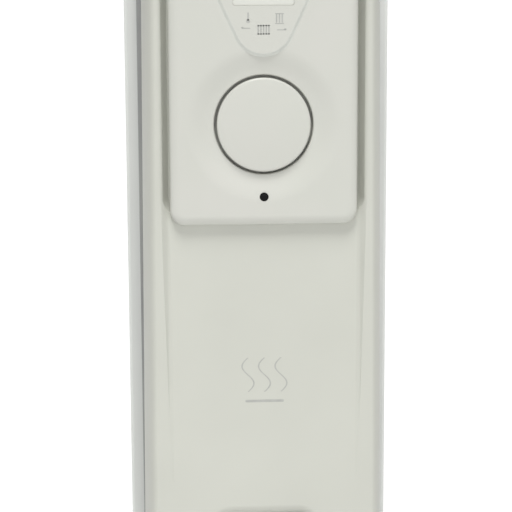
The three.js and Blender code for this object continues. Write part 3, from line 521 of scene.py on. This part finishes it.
class HEATER_OT_cover(bpy.types.Operator):
    """Moulded front cover: rounded sides, a shallow panel, the fascia's seat and the cord pocket"""

    bl_idname = "heater.cover"
    bl_label = "Front Cover"

    def execute(self, context):
        sizes = context.scene.heater_sizes
        low, high, _ = box_of("front_cover")
        ridge = low.y
        wide, wall, depth = mm(1.8, 2.4, 20)
        corners = rounded_corners(low.x - wide, high.x + wide, low.z, high.z, *mm(24, 48), sizes.cover_taper)
        bm = bmesh.new()
        face = face_of(bm, corners, ridge + sizes.cover_depth, 24)
        face = rise(bm, face, sizes.cover_depth - sizes.ridge_depth)
        round_over(bm, face, sizes.ridge_width, sizes.ridge_depth, 18)
        rim = close(bm)
        step_in(bm, rim, wall, 0)
        rise(bm, rim, -depth)
        # A block of plastic behind the face, for the pocket to be cut from.
        block = slab(centred(0, box_of("cord_cleat")[2].z, *mm(29.6, 52.4, 10.4)), ridge + 28.4 * MM,
                     ridge + 6 * MM)
        cover = cut_by(cut_by(bm, block, operation="UNION"), self.panel(low, high, ridge),
                       self.seat(sizes, ridge), self.pocket(ridge), self.opening(ridge))
        finish_piece(cover, "front_cover_shell", "case_plastic", "front_cover", smooth_angle=32)
        return {"FINISHED"}

    def panel(self, low, high, ridge):
        """The shallow recess below the fascia. Its upper end is hidden in the seat."""
        inset, slope = mm(8.7, 7)
        top = box_of("fascia")[0].z + 30 * MM
        corners = rounded_corners(low.x + inset, high.x - inset, PANEL_END - 8 * MM, top, 13 * MM)
        fall = panel_fall(top)
        bm = well(corners, ridge, soft_steps(slope, fall, 12))
        return swung(bm, degrees(-fall / (top - PANEL_END)), "X", (0, ridge, top))

    def seat(self, sizes, ridge):
        """The seat behind the fascia: a rounded lip, then walls that close in on the fascia's sides."""
        low, high, _ = box_of("fascia")
        gap, below = sizes.groove_gap + 2.5 * MM, 1 * MM
        corners = rounded_corners(low.x - gap, high.x + gap, low.z - below, high.z + gap, 14 * MM, 40 * MM)
        walls = [(0.9 * MM, 2.4 * MM), (1 * MM, 2 * MM), (0.9 * MM, 0.8 * MM)]
        return well(corners, ridge, lip(2.8 * MM, 2.4 * MM, 8) + walls)

    def opening(self, ridge):
        """The hole behind the fascia, for the dial's shaft, the display and the boards."""
        low, high, _ = box_of("fascia")
        side, end = mm(7, 10)
        corners = rounded_corners(low.x + side, high.x - side, low.z + end, high.z - end, 4 * MM, 24 * MM)
        return slab(corners, ridge + 20 * MM, ridge + 4 * MM)

    def pocket(self, ridge):
        """The cord pocket, with a broad rounded lip."""
        half, tall, corner, edge = mm(25.6, 47.6, 7, 6)
        corners = centred(0, box_of("cord_cleat")[2].z, half + edge, tall + edge, corner + edge)
        walls = [(1 * MM, 17.8 * MM), (1.6 * MM, 1.8 * MM), (1 * MM, 0.3 * MM)]
        return well(corners, ridge, lip(edge, edge, 9) + walls)


class HEATER_OT_housing(bpy.types.Operator):
    """What closes the cover's back: the vented rear shell, the heat shield and the screws"""

    bl_idname = "heater.housing"
    bl_label = "Rear Housing"

    def execute(self, context):
        self.shell()
        self.shield()
        self.screws()
        self.gland()
        return {"FINISHED"}

    def hole(self, radius, y, z):
        """A round cutter for a header, through a wall at depth y."""
        return drum(radius, 6 * MM, (0, y, z), "Y", 40)

    def shell(self):
        """A tray with a soft rear edge, rows of vents and holes for the headers."""
        low, high, _ = box_of("rear_shell")
        wall, edge = mm(2.2, 1.6)
        bm = bmesh.new()
        face = face_of(bm, rounded_corners(low.x, high.x, low.z, high.z, 21.3 * MM, 45.3 * MM), low.y, 20)
        face.normal_flip()
        face = rise(bm, face, high.y - low.y - edge)
        round_over(bm, face, edge, edge, 5)
        mouth = close(bm)
        step_in(bm, mouth, wall, 0)
        rise(bm, mouth, -(high.y - low.y - wall))
        cutters = [self.hole(radius * MM, high.y, z) for radius, z in zip((25, 23), HEADERS)]
        for row in range(5):
            for side in (-1, 1):
                vent = centred(side * 40 * MM, 300 * MM + row * 9 * MM, *mm(13, 1.6, 1.5))
                cutters.append(slab(vent, high.y + 4 * MM, high.y - 5 * MM, steps=4))
        finish_piece(cut_by(bm, *cutters), "vented_shell", "inner_plastic", "rear_shell",
                     slot="case_plastic")

    def shield(self):
        """A steel plate with a folded stiffening edge."""
        low, high, _ = box_of("heat_shield")
        fold, edge = mm(1.2, 0.3)
        corners = rounded_corners(low.x + fold, high.x - fold, low.z, high.z, *mm(26, 50))
        bm = slab(corners, high.y, low.y, edge, edge, 20, 2)
        cutters = [self.hole(25 * MM, low.y, z) for z in HEADERS]
        # The plate's dark grey is its paint and also painted shade for the gap beside the cover.
        finish_piece(cut_by(bm, *cutters), "shield_plate", "shield_steel", "heat_shield")

    def screws(self):
        """Pan heads with a cross recess, on plain shanks."""
        for node in [name for name in NODES if name.startswith("cover_screw_")]:
            low, high, middle = box_of(node)
            head, side, crown, shank = mm(4, 0.6, 1.6, 1.5)
            under = high.y - side - crown
            turns = [radians(t) for t in range(0, 90, 15)]
            dome = [(head * cos(t), under + side + crown * sin(t)) for t in turns]
            profile = [(0, low.y), (shank * 0.4, low.y), (shank, low.y + 2 * MM), (shank, under),
                       (head, under)]
            bm = turned(profile + dome + [(0, high.y)], (middle.x, 0, middle.z), "Y", 24)
            recess = [
                slab(centred(middle.x, middle.z, a, b, 0.2 * MM), high.y + 1 * MM, high.y - 1.2 * MM, steps=2)
                for a, b in ((2.2 * MM, 0.45 * MM), (0.45 * MM, 2.2 * MM))
            ]
            finish_piece(cut_by(bm, *recess), f"pan_{node}", "zinc_steel", node)

    def gland(self):
        """The cord's bush: a ribbed collar below the shell, open down its middle."""
        low, high, middle = box_of("cord_gland")
        bore, neck, collar = 3.6 * MM, 5.6 * MM, (high.x - low.x) / 2
        start, shoulder = low.z + 0.6 * MM, low.z + 5.7 * MM
        profile = [(bore, start), (bore + 0.6 * MM, low.z), (7 * MM, low.z), (collar, low.z + 3 * MM),
                   (collar, shoulder), (neck, shoulder), (neck, high.z), (bore, high.z), (bore, start)]
        bush = turned(profile, (middle.x, middle.y, 0), "Z", 40)
        finish_piece(bush, "cord_bush", "black_plastic", "cord_gland")


class HEATER_OT_handle(bpy.types.Operator):
    """The arched handle over the housing, rounded all round for the hand"""

    bl_idname = "heater.handle"
    bl_label = "Carry Handle"

    def execute(self, context):
        low, high, _ = box_of("carry_handle")
        shell_low, shell_high, _ = box_of("rear_shell")
        bar, edge = mm(16, 4.5)
        arch = slab(rounded_corners(low.x, high.x, low.z - 40 * MM, high.z, 12 * MM, 32 * MM), high.y, low.y,
                    edge, edge, 24, 7)
        grips = []
        for side in (1, -1):
            grip = well(rounded_corners(low.x + bar - edge, high.x - bar + edge, low.z - 60 * MM,
                                        high.z - bar + edge, 12 * MM, 20 * MM + edge),
                        low.y, lip(edge, edge, 7), (high.y - low.y) / 2 - edge + 0.1 * MM, 24)
            about = Matrix.Translation((0, -(low.y + high.y) / 2, 0))
            bmesh.ops.scale(grip, verts=grip.verts, vec=(1, side, 1), space=about)
            bmesh.ops.recalc_face_normals(grip, faces=grip.faces)
            grips.append(grip)
        room = 0.3 * MM
        seat = slab(rounded_corners(shell_low.x - room, shell_high.x + room, shell_low.z, shell_high.z + room,
                                    21.3 * MM, 45.6 * MM), high.y + 2 * MM, low.y - 2 * MM, steps=24)
        finish_piece(cut_by(arch, *grips, seat), "arched_handle", "case_plastic",
                     "carry_handle")
        return {"FINISHED"}


class HEATER_OT_cleat(bpy.types.Operator):
    """The cleat in the cord pocket: a foot, a waist for the turns of cord and a rounded keeper plate"""

    bl_idname = "heater.cleat"
    bl_label = "Cord Cleat"

    def execute(self, context):
        _, high, middle = box_of("cord_cleat")
        plates = []
        # The foot, the waist and the keeper, in millimetres: half sizes, corner, reach and edges.
        for half, tall, corner, back, front, edge, rear in (
            (12, 23, 4, 0, 2.5, 0.6, 0), (7, 17, 4, 1, 21, 0.2, 0), (12.5, 34, 10, 19, 22.5, 1.2, 1.2)
        ):
            corners = centred(0, middle.z, *mm(half, tall, corner))
            plates.append(slab(corners, high.y - back * MM, high.y - front * MM, *mm(edge, rear), 10, 4))
        finish_piece(merged(*plates), "cord_keeper", "case_plastic", "cord_cleat")
        return {"FINISHED"}


class HEATER_OT_fascia(bpy.types.Operator):
    """Raised control fascia with a shallow dish that runs down to the dial's well"""

    bl_idname = "heater.fascia"
    bl_label = "Fascia"

    def execute(self, context):
        sizes = context.scene.heater_sizes
        low, high, _ = box_of("fascia")
        _, _, dial = box_of("dial_knob")
        edge, fall, skirt = mm(5.4, 3.6, 1.2)
        outline = rounded_corners(low.x - skirt, high.x + skirt, low.z - skirt, high.z + skirt, *mm(8, 35))
        bm = bmesh.new()
        face = face_of(bm, outline, high.y, 20)
        face = rise(bm, face, high.y - low.y - fall)
        round_over(bm, face, edge, fall, 10)
        outer = list(face.edges)
        bmesh.ops.delete(bm, geom=[face], context="FACES_ONLY")
        rings = self.dish(sizes)
        disc = bmesh.ops.create_circle(bm, segments=128, radius=rings[0][0])["verts"]
        bmesh.ops.rotate(bm, verts=disc, cent=(0, 0, 0), matrix=Matrix.Rotation(pi / 2, 3, "X"))
        bmesh.ops.translate(bm, verts=disc, vec=(0, low.y, dial.z))
        ring = [e for e in bm.edges if e.verts[0] in disc and e.verts[1] in disc]
        bmesh.ops.triangle_fill(bm, edges=outer + ring, use_beauty=True, use_dissolve=False)
        about = Matrix.Translation((0, 0, -dial.z))
        for (r0, d0), (r1, d1) in zip(rings, rings[1:]):
            verts, ring = pulled(bm, ring)
            bmesh.ops.scale(bm, verts=verts, vec=(r1 / r0, 1, r1 / r0), space=about)
            bmesh.ops.translate(bm, verts=verts, vec=(0, d1 - d0, 0))
        bmesh.ops.recalc_face_normals(bm, faces=bm.faces)
        finish_piece(bm, "fascia_panel", "face_plastic", "fascia")
        return {"FINISHED"}

    def dish(self, sizes):
        """(radius, depth) rings of the dish, its rolled inner edge, the well's wall and its floor."""
        count, roll, wall, shaft = 24, 0.5 * MM, 5.5 * MM, 7 * MM
        outer, inner, depth = sizes.dish_radius, sizes.well_radius, sizes.dish_depth
        rings = [(outer + (inner + roll - outer) * t, depth * (0.5 - 0.5 * cos(pi * t)))
                 for t in (i / count for i in range(count + 1))]
        rings.append((inner, rings[-1][1] + roll))
        rings.append((inner, rings[-1][1] + wall))
        rings.append((shaft, rings[-1][1]))
        return rings


class HEATER_OT_dial(bpy.types.Operator):
    """Round dial: a barely crowned face with a small radius at its edge"""

    bl_idname = "heater.dial"
    bl_label = "Dial"

    def execute(self, context):
        low, high, middle = box_of("dial_knob")
        radius, front, edge = (high.x - low.x) / 2, low.y, 1.1 * MM
        side = front + 0.9 * MM + edge
        # The hollow back: a rim, its wall, the floor and the hub on the shaft.
        rim, floor = front + 8 * MM, front + 5 * MM
        inner, hub = radius - 2 * MM, 6 * MM
        crown = ((0, 0), (0.3, 0.09), (0.6, 0.33), (0.85, 0.66))
        profile = [(radius * share, front + drop * MM) for share, drop in crown]
        profile += reversed(arc(radius - edge, side, edge, 0, -90, 8))
        profile += [(radius, rim), (inner, rim), (inner, floor), (hub, floor), (hub, high.y), (0, high.y)]
        bm = turned(profile, (0, 0, middle.z), "Y", 160)
        finish_piece(bm, "dial", "face_plastic", "dial_knob", body="dial")
        return {"FINISHED"}


def bezel_corners(inset):
    """The bezel's outline as arcs: a round tip and round shoulders on sides that lean out by 25 degrees."""
    low, high, _ = box_of("display_bezel")
    lean = 25
    tip = 17 * MM - inset
    tip_z = low.z + tip + inset
    shoulder = 13 * MM - inset
    top = high.z - inset
    side_x, side_z = tip * cos(radians(lean)), tip_z - tip * sin(radians(lean))
    corner_z = top - shoulder
    corner_x = side_x + (corner_z - side_z) * tan(radians(lean)) - shoulder / cos(radians(lean))
    return [
        (0, tip_z, tip, 180 + lean, 360 - lean),
        (corner_x, corner_z, shoulder, -lean, 90),
        (-corner_x, corner_z, shoulder, 90, 180 + lean),
    ]


class HEATER_OT_display(bpy.types.Operator):
    """Display: the shield-shaped bezel with its edge darkened as painted shade, the window, the pictograms
    and the receiver
    """

    bl_idname = "heater.display"
    bl_label = "Display"

    def execute(self, context):
        fascia_low, _, _ = box_of("fascia")
        self.face = fascia_low.y
        self.bezel()
        self.window()
        self.pictograms()
        self.receiver()
        return {"FINISHED"}

    def bezel(self):
        """A low raised plate with the window's opening. Its soft edge is painted a tone darker, as painted
        shade on its downward-facing slopes.
        """
        root, lift, slope = mm(1, 0.8, 2)
        bm = bmesh.new()
        face = face_of(bm, bezel_corners(0.4 * MM), self.face + root, 24)
        face = rise(bm, face, root)
        for inward, forward in soft_steps(slope, lift, 8):
            step_in(bm, face, inward, forward)
        # The sloping edge's faces take the second material: a darker tone painted as shade.
        for edge_face in bm.faces:
            edge_face.material_index = 0 if edge_face == face else 1
        outer = list(face.edges)
        bmesh.ops.delete(bm, geom=[face], context="FACES_ONLY")
        low, high, _ = box_of("display_window")
        hole = loop_of(bm, rounded_corners(low.x, high.x, low.z, high.z, 1 * MM), self.face - lift, 6)
        edges = [bm.edges.get((a, b)) or bm.edges.new((a, b)) for a, b in zip(hole, hole[1:] + hole[:1])]
        bmesh.ops.triangle_fill(bm, edges=outer + edges, use_beauty=True, use_dissolve=False)
        verts, _ = pulled(bm, edges)
        bmesh.ops.translate(bm, verts=verts, vec=(0, 1.2 * MM, 0))
        bmesh.ops.recalc_face_normals(bm, faces=bm.faces)
        # The trim is the painted shade on the bezel's sloping edge.
        finish_piece(bm, "bezel", "face_plastic", "display_bezel",
                     trim="bezel_ink")

    def window(self):
        """The clear pane, a little proud of the fascia."""
        low, high, _ = box_of("display_window")
        corners = rounded_corners(low.x, high.x, low.z, high.z, 1.5 * MM)
        bm = slab(corners, self.face + 1 * MM, self.face - 0.2 * MM, 0.2 * MM, 0, 6, 3)
        finish_piece(bm, "window", "display_window", "display_window")

    def pictograms(self):
        """Printed signs: a thermometer, two arrows and two heaters."""
        _, _, dial = box_of("dial_knob")
        # Each bar's middle, over the dial's, its width and height, and its corner, in millimetres.
        bars = [
            (-8.1, 57, 0.9, 4.4, 0.45), (-8.1, 54.6, 2.1, 2.1, 1),  # thermometer
            (-9.2, 50.9, 4.6, 0.6, 0.3), (-11.2, 51.3, 1.3, 0.6, 0.3),  # left arrow
            (9.4, 50, 4.8, 0.6, 0.3), (11.4, 50.4, 1.3, 0.6, 0.3),  # right arrow
            *((-2.8 + 1.4 * i, 50.2, 0.8, 5.4, 0.4) for i in range(5)),  # lower heater
            (0, 52.2, 6.6, 0.6, 0.3), (0, 47.9, 6.6, 0.6, 0.3),
            *((6.8 + 1.5 * i, 56, 0.8, 4.6, 0.4) for i in range(3)),  # upper heater
            (8.4, 53.3, 4.8, 0.6, 0.3), (8.4, 58.4, 4.8, 0.5, 0.25),
        ]
        outlines = [
            centred(x * MM, dial.z + z * MM, wide / 2 * MM, tall / 2 * MM,
                    min(corner, wide / 2.01, tall / 2.01) * MM)
            for x, z, wide, tall, corner in bars
        ]
        top = self.face - 0.8 * MM
        printed = merged(*(slab(corners, top + 0.2 * MM, top - 0.02 * MM, steps=4) for corners in outlines))
        finish_piece(printed, "pictograms", "ink", slot="face_plastic")

    def receiver(self):
        """The dark dome of the remote control's receiver."""
        low, high, middle = box_of("receiver_lens")
        radius = (high.x - low.x) / 2
        dome = [(radius * share, low.y + drop * MM) for share, drop in (
            (0, 0), (0.5, 0.06), (0.86, 0.22), (1, 0.6), (1, 4), (0, 4))]
        finish_piece(turned(dome, (0, 0, middle.z), "Y", 48), "receiver", "smoked", "receiver_lens",
                     slot="black_plastic")


class HEATER_OT_mark(bpy.types.Operator):
    """A plain printed sign on the cover: three rising waves of heat over a short bar"""

    bl_idname = "heater.mark"
    bl_label = "Heat Sign"

    def execute(self, context):
        low, _, _ = box_of("front_cover")
        _, _, dial = box_of("dial_knob")
        centre = dial.z - 136.6 * MM
        bar_z = dial.z - 151.2 * MM

        def skin(z):
            """The panel's surface, less the ink's thickness."""
            return low.y + panel_fall(z) - 0.03 * MM

        waves = []
        for middle in (-9, 0, 9):
            bm = bmesh.new()
            width, tall, sway, count = 0.8 * MM, 19 * MM, 3.2, 40
            points = []
            for i in range(count + 1):
                t = i / count
                z = centre + (t - 0.5) * tall
                points.append(Vector(((middle + sway * sin(2 * pi * t)) * MM, skin(z), z)))
            start = [bm.verts.new(points[0] + Vector((s * width, 0, 0))) for s in (-0.5, 0.5)]
            edges = [bm.edges.new(start)]
            for here, there in zip(points, points[1:]):
                verts, edges = pulled(bm, edges)
                bmesh.ops.translate(bm, verts=verts, vec=there - here)
            bmesh.ops.solidify(bm, geom=bm.faces[:], thickness=0.02 * MM)
            bmesh.ops.recalc_face_normals(bm, faces=bm.faces)
            waves.append(bm)
        bar = slab(centred(0, bar_z, *mm(10.5, 0.7, 0.6)), skin(bar_z) + 0.2 * MM,
                   skin(bar_z) - 0.02 * MM, steps=4)
        finish_piece(merged(*waves), "heat_waves", "ink", slot="case_plastic")
        finish_piece(bar, "heat_bar", "ink", slot="case_plastic")
        return {"FINISHED"}


class HEATER_OT_fins(bpy.types.Operator):
    """Pressed steel fins: a plate with a turned-back edge, two oil columns and a collar at each header"""

    bl_idname = "heater.fins"
    bl_label = "Fins"

    def execute(self, context):
        count = sum(name.startswith("fin_") for name in NODES)
        low, high, _ = box_of("fin_1")
        inner_low, inner_high, _ = box_of("fin_2")
        reach = (inner_high.y - inner_low.y) / 2
        for i in range(count):
            node = f"fin_{i + 1}"
            bm = self.fin(low, high, box_of(node)[2].y, reach)
            finish_piece(bm, f"pressed_{node}", "enamelled_steel", node)
        return {"FINISHED"}

    def fin(self, low, high, y, reach):
        """The plate, its collars, which reach to the next fins' collars, and its columns."""
        sheet, hem, roll = mm(0.8, 6, 1.8)
        corners = rounded_corners(low.x, high.x, low.z, high.z, 42 * MM)
        plate = bmesh.new()
        face = face_of(plate, corners, y + hem, 20)
        face = rise(plate, face, hem + sheet - roll)
        round_over(plate, face, roll, roll, 6)
        back = close(plate)
        step_in(plate, back, 1.5 * MM, 0)
        rise(plate, back, sheet - hem)
        parts = [plate]
        headers = (low.z + 46 * MM, high.z - 46 * MM)
        slope = [(21 * MM + 13 * MM * t, -10 * MM + 9.2 * MM * ease(t)) for t in (i / 8 for i in range(9))]
        half = [(21 * MM, -reach)] + slope
        profile = [(0, -reach)] + half + [(r, -a) for r, a in reversed(half)] + [(0, reach)]
        parts += [turned(profile, (0, y, z), "Y", 48) for z in headers]
        parts += [self.column(x, y, side, *headers) for x in (-20 * MM, 20 * MM) for side in (-1, 1)]
        return merged(*parts)

    def column(self, x, y, side, z0, z1):
        """One oil column pressed out of the sheet, towards the front (-1) or the back (1)."""
        half, slope, height = mm(13, 7, 7.3)
        bm = bmesh.new()
        ends = [(x, z0 + half, half, 180, 360), (x, z1 - half, half, 0, 180)]
        # It starts inside the sheet, so that the front's and the back's first edges don't meet.
        face = face_of(bm, ends, y + 0.2 * MM, 20)
        for inward, forward in soft_steps(slope, height, 8):
            step_in(bm, face, inward, forward)
        if side > 0:
            bmesh.ops.scale(bm, verts=bm.verts, vec=(1, -1, 1), space=Matrix.Translation((0, -y, 0)))
        close(bm)
        return bm


class HEATER_OT_filler(bpy.types.Operator):
    """The hexagonal plug that closes the rear header after it is filled with oil"""

    bl_idname = "heater.filler"
    bl_label = "Filler Plug"

    def execute(self, context):
        low, high, middle = box_of("filler_plug")
        radius, bevel = (high.x - low.x) / 2, 1.2 * MM
        under, inside, neck = high.y - 5 * MM, high.y - 4.8 * MM, radius * 0.8
        head = turned([(0, under), (radius, under), (radius, high.y - bevel), (radius - bevel, high.y),
                       (0, high.y)], (0, 0, middle.z), "Y", 6)
        collar = turned([(0, low.y), (neck, low.y), (neck, inside), (0, inside)], (0, 0, middle.z), "Y", 40)
        finish_piece(merged(head, collar), "hex_plug", "zinc_steel", "filler_plug", smooth_angle=20)
        return {"FINISHED"}


class HEATER_OT_feet(bpy.types.Operator):
    """Pressed feet across the heater, their U-bolts over the lower header, and the wing nuts"""

    bl_idname = "heater.feet"
    bl_label = "Feet"

    def execute(self, context):
        for end in ("front", "rear"):
            self.foot(f"foot_{end}")
            self.bolt(f"u_bolt_{end}")
            for side in ("left", "right"):
                self.nut(f"wing_nut_{end}_{side}")
        return {"FINISHED"}

    def foot(self, node):
        """A channel, open below, with a rolled upper edge and a socket for each castor's stem."""
        low, high, middle = box_of(node)
        sheet, roll = mm(2, 3)
        half, deep, tall = (high.x - low.x) / 2, (high.y - low.y) / 2, high.z - low.z
        bm = bmesh.new()
        face = face_of(bm, rounded_corners(-half, half, -deep, deep, deep - 2 * MM), 0, 24)
        face = rise(bm, face, tall - roll)
        round_over(bm, face, roll, roll, 6)
        under = close(bm)
        step_in(bm, under, sheet, 0)
        rise(bm, under, sheet - tall)
        moved(swung(bm, -90, "X"), 0, middle.y, low.z)
        bore, boss, top = 4.3 * MM, 9 * MM, tall - 1 * MM
        ring = [(bore, 0), (boss, 0), (boss, top), (bore, top), (bore, 0)]
        sockets = [turned(ring, (x, middle.y, low.z), "Z", 32) for x in (-STEMS, STEMS)]
        finish_piece(merged(bm, *sockets), f"pressed_{node}", "enamelled_steel", node)

    def bolt(self, node):
        """A bent wire: up one leg, over the header and down the other."""
        low, high, middle = box_of(node)
        wire = 3 * MM
        radius = (high.x - low.x) / 2 - wire
        centre = high.z - wire - radius
        turns = [radians(t) for t in range(0, 181, 7)]
        bend = [(radius * cos(t), middle.y, centre + radius * sin(t)) for t in turns]
        bend.append((-radius, middle.y, centre))
        points = [(radius, middle.y, low.z)] + bend + [(-radius, middle.y, low.z)]
        finish_piece(bent_wire(points, wire, 14), f"bent_{node}", "zinc_steel", node)

    def nut(self, node):
        """A hub with a bore and two rounded wings that lean down and out."""
        _, high, middle = box_of(node)
        bore, edge, hub_radius, bevel = mm(3.3, 5.4, 6, 0.8)
        foot = high.z - 8 * MM
        profile = [(bore, foot), (edge, foot), (hub_radius, foot + bevel), (hub_radius, high.z - bevel),
                   (edge, high.z), (bore, high.z), (bore, foot)]
        hub = turned(profile, (middle.x, middle.y, 0), "Z", 32)
        wings = []
        for side in (-1, 1):
            wing = slab(centred(0, 0, *mm(2.6, 6.2, 2.5)), *mm(1.2, -1.2, 0.7, 0.7), 6, 3)
            swung(swung(wing, 90, "Z"), side * 56, "X")
            wings.append(moved(wing, middle.x, middle.y + side * 9.6 * MM, high.z - 7.4 * MM))
        finish_piece(merged(hub, *wings), node.replace("wing_nut", "winged_nut"), "zinc_steel", node)


class HEATER_OT_castors(bpy.types.Operator):
    """Four swivel castors: a moulded fork with a round hood, a wheel with a soft tread, and its axle"""

    bl_idname = "heater.castors"
    bl_label = "Castors"

    def execute(self, context):
        for end in ("front", "rear"):
            for side in ("left", "right"):
                place = f"{end}_{side}"
                self.fork(place)
                self.wheel(place)
                self.axle(place)
        return {"FINISHED"}

    def fork(self, place):
        """Two cheeks joined by a hood over the wheel, with a stem up into the foot."""
        low, high, middle = box_of(f"castor_fork_{place}")
        _, _, hub = box_of(f"castor_wheel_{place}")
        outer = (high.x - low.x) / 2
        inner, hood, wheel_room, pin, edge = mm(9.2, 24.6, 22.2, 2.8, 2.4)
        flat = hood - edge
        profile = [(0, -outer), (flat, -outer), *arc(flat, edge - outer, edge, -90, 0, 6),
                   *arc(flat, outer - edge, edge, 0, 90, 6), (flat, outer), (0, outer)]
        wide, deep, cheek, corner = mm(40, 60, 5, 1)
        under = rounded_corners(hub.x - wide, hub.x + wide, hub.z - deep, hub.z - cheek, corner)
        below = slab(under, hub.y + deep, hub.y - deep, steps=2)
        hooded = cut_by(turned(profile, hub, "X", 72), drum(wheel_room, inner, hub, "X", 72),
                        drum(pin, outer * 2, hub, "X", 24), below)
        foot, crown = hub.z + 12 * MM, hub.z + 27.8 * MM
        socket, bevel, stem, point = mm(12, 1, 4, 0.8)
        profile = [(0, foot), (socket, foot), (socket, crown - bevel), (socket - bevel, crown), (stem, crown),
                   (stem, high.z - point), (stem - point, high.z), (0, high.z)]
        neck = turned(profile, (middle.x, hub.y - 14 * MM, 0), "Z", 32)
        necked = cut_by(neck, drum(wheel_room, inner, hub, "X", 72))
        finish_piece(merged(hooded, necked), f"hooded_fork_{place}", "black_plastic", f"castor_fork_{place}",
                     body=f"castor_{place}")

    def wheel(self, place):
        """A wheel with a rounded tread, a dished side and a raised hub."""
        low, high, middle = box_of(f"castor_wheel_{place}")
        half, radius, bore, edge = (high.x - low.x) / 2, (high.z - low.z) / 2, 2.8 * MM, 3 * MM
        # Radius, and depth in from the wheel's side, in millimetres: the hub, the dish and the shoulder.
        side = [(bore, -half)] + [(r * MM, d * MM - half) for r, d in (
            (6, 0), (6.6, 0.6), (7, 2), (14, 2), (15, 0.4), (15.6, 0))]
        profile = side + arc(radius - edge, edge - half, edge, -90, 0, 6)
        profile += [(r, -a) for r, a in reversed(profile)]
        profile.append(profile[0])
        finish_piece(turned(profile, middle, "X", 64), f"wheel_tread_{place}", "wheel_nylon",
                     f"castor_wheel_{place}", body=f"wheel_{place}")

    def axle(self, place):
        """A riveted pin, its head domed."""
        low, high, middle = box_of(f"castor_axle_{place}")
        pin, head, bevel = mm(2.5, 3.9, 0.5)
        under = high.x - 1.3 * MM
        profile = [(0, low.x), (pin - bevel, low.x), (pin, low.x + bevel), (pin, under), (head, under),
                   (head, high.x - 0.8 * MM), (head * 0.7, high.x - 0.2 * MM), (0, high.x)]
        finish_piece(turned(profile, (0, middle.y, middle.z), "X", 24), f"axle_pin_{place}", "zinc_steel",
                     f"castor_axle_{place}", body=f"castor_{place}")


class HEATER_OT_frame_finishes(bpy.types.Operator):
    """Gives each CAD piece that still shows the finish of its material slot"""

    bl_idname = "heater.frame_finishes"
    bl_label = "Frame Finishes"

    def execute(self, context):
        slots = {row["node"]: row["material_slot"] for row in frame["record"]["subparts"]}
        for name, node in NODES.items():
            node.data.materials.clear()
            node.data.materials.append(finish(slots[name]))
        return {"FINISHED"}


# ---------------------------------------------------------------- stage
class HEATER_OT_stage(bpy.types.Operator):
    """Pale floor, soft studio light and the camera"""

    bl_idname = "heater.stage"
    bl_label = "Stage"

    def execute(self, context):
        self.floor()
        self.lights()
        self.camera(context)
        return {"FINISHED"}

    def floor(self):
        """A floor so wide that its far edge is hardly seen."""
        bm = bmesh.new()
        bmesh.ops.create_grid(bm, x_segments=1, y_segments=1, size=30)
        mesh = bpy.data.meshes.new("floor")
        bm.to_mesh(mesh)
        bm.free()
        # Matt white studio vinyl: it keeps a faint patchiness and no gloss.
        mesh.materials.append(surface("studio_vinyl", "#FFFFFF", "#FCFCFC", 3, 900, 0.9, 0.01))
        floor = bpy.data.objects.new("floor", mesh)
        bpy.context.scene.collection.objects.link(floor)

    def lights(self):
        """A key lamp from above and a broad fill lamp from the front right, in a pale room."""
        lamps = (("key", 24, 2.90, (0.09, 0.60, -1.42)), ("fill", 60, 0.98, (-0.2, 1, -0.15)))
        for name, spread, energy, direction in lamps:
            lamp = bpy.data.lights.new(name, "SUN")
            lamp.angle = radians(spread)
            lamp.energy = energy
            light = bpy.data.objects.new(name, lamp)
            light.rotation_euler = Vector(direction).to_track_quat("-Z", "Y").to_euler()
            bpy.context.scene.collection.objects.link(light)
        world = bpy.data.worlds.new("bright_room")
        world.use_nodes = True
        sky = world.node_tree.nodes["Background"]
        sky.inputs["Color"].default_value = (1, 1, 1, 1)
        sky.inputs["Strength"].default_value = 0.27
        bpy.context.scene.world = world
        bpy.context.scene.view_settings.view_transform = "Standard"

    def camera(self, context):
        """In front of the dial at a metre, a little to its left and above it, looking slightly down."""
        wing, dial = box_of("fin_1")[2], box_of("dial_knob")[2]
        lens = bpy.data.cameras.new("camera")
        lens.sensor_width = 36
        lens.lens = 124.5
        eye = bpy.data.objects.new("camera", lens)
        aside, down, roll = -3.02, 10.17, -0.27
        turn = (
            Matrix.Rotation(radians(aside), 4, "Z")
            @ Matrix.Rotation(radians(90 - down), 4, "X")
            @ Matrix.Rotation(radians(roll), 4, "Z")
        )
        place = (-53.7 * MM, wing.y - 1002.4 * MM, dial.z + 97.2 * MM)
        eye.matrix_world = Matrix.Translation(place) @ turn
        context.scene.collection.objects.link(eye)
        context.scene.camera = eye


PIECES = (
    HEATER_OT_frame_finishes,
    HEATER_OT_cover,
    HEATER_OT_housing,
    HEATER_OT_handle,
    HEATER_OT_cleat,
    HEATER_OT_fascia,
    HEATER_OT_dial,
    HEATER_OT_display,
    HEATER_OT_mark,
    HEATER_OT_fins,
    HEATER_OT_filler,
    HEATER_OT_feet,
    HEATER_OT_castors,
    HEATER_OT_stage,
)


class HEATER_PT_panel(bpy.types.Panel):
    """Lists the pieces, their sizes and their colours"""

    bl_label = "Heater"
    bl_idname = "HEATER_PT_panel"
    bl_space_type = "VIEW_3D"
    bl_region_type = "UI"
    bl_category = "Heater"

    def draw(self, context):
        column = self.layout.column()
        for group in (context.scene.heater_sizes, context.scene.heater_finish):
            for key in group.__annotations__:
                column.prop(group, key)
        for piece in PIECES:
            column.operator(piece.bl_idname)


CLASSES = (HeaterSizes, HeaterFinish, *PIECES, HEATER_PT_panel)


def register():
    for item in CLASSES:
        bpy.utils.register_class(item)
    bpy.types.Scene.heater_sizes = bpy.props.PointerProperty(type=HeaterSizes)
    bpy.types.Scene.heater_finish = bpy.props.PointerProperty(type=HeaterFinish)


def unregister():
    del bpy.types.Scene.heater_finish
    del bpy.types.Scene.heater_sizes
    for item in reversed(CLASSES):
        bpy.utils.unregister_class(item)


def main():
    register()
    for piece in PIECES:
        group, call = piece.bl_idname.split(".")
        getattr(getattr(bpy.ops, group), call)()


if __name__ == "__main__":
    main()
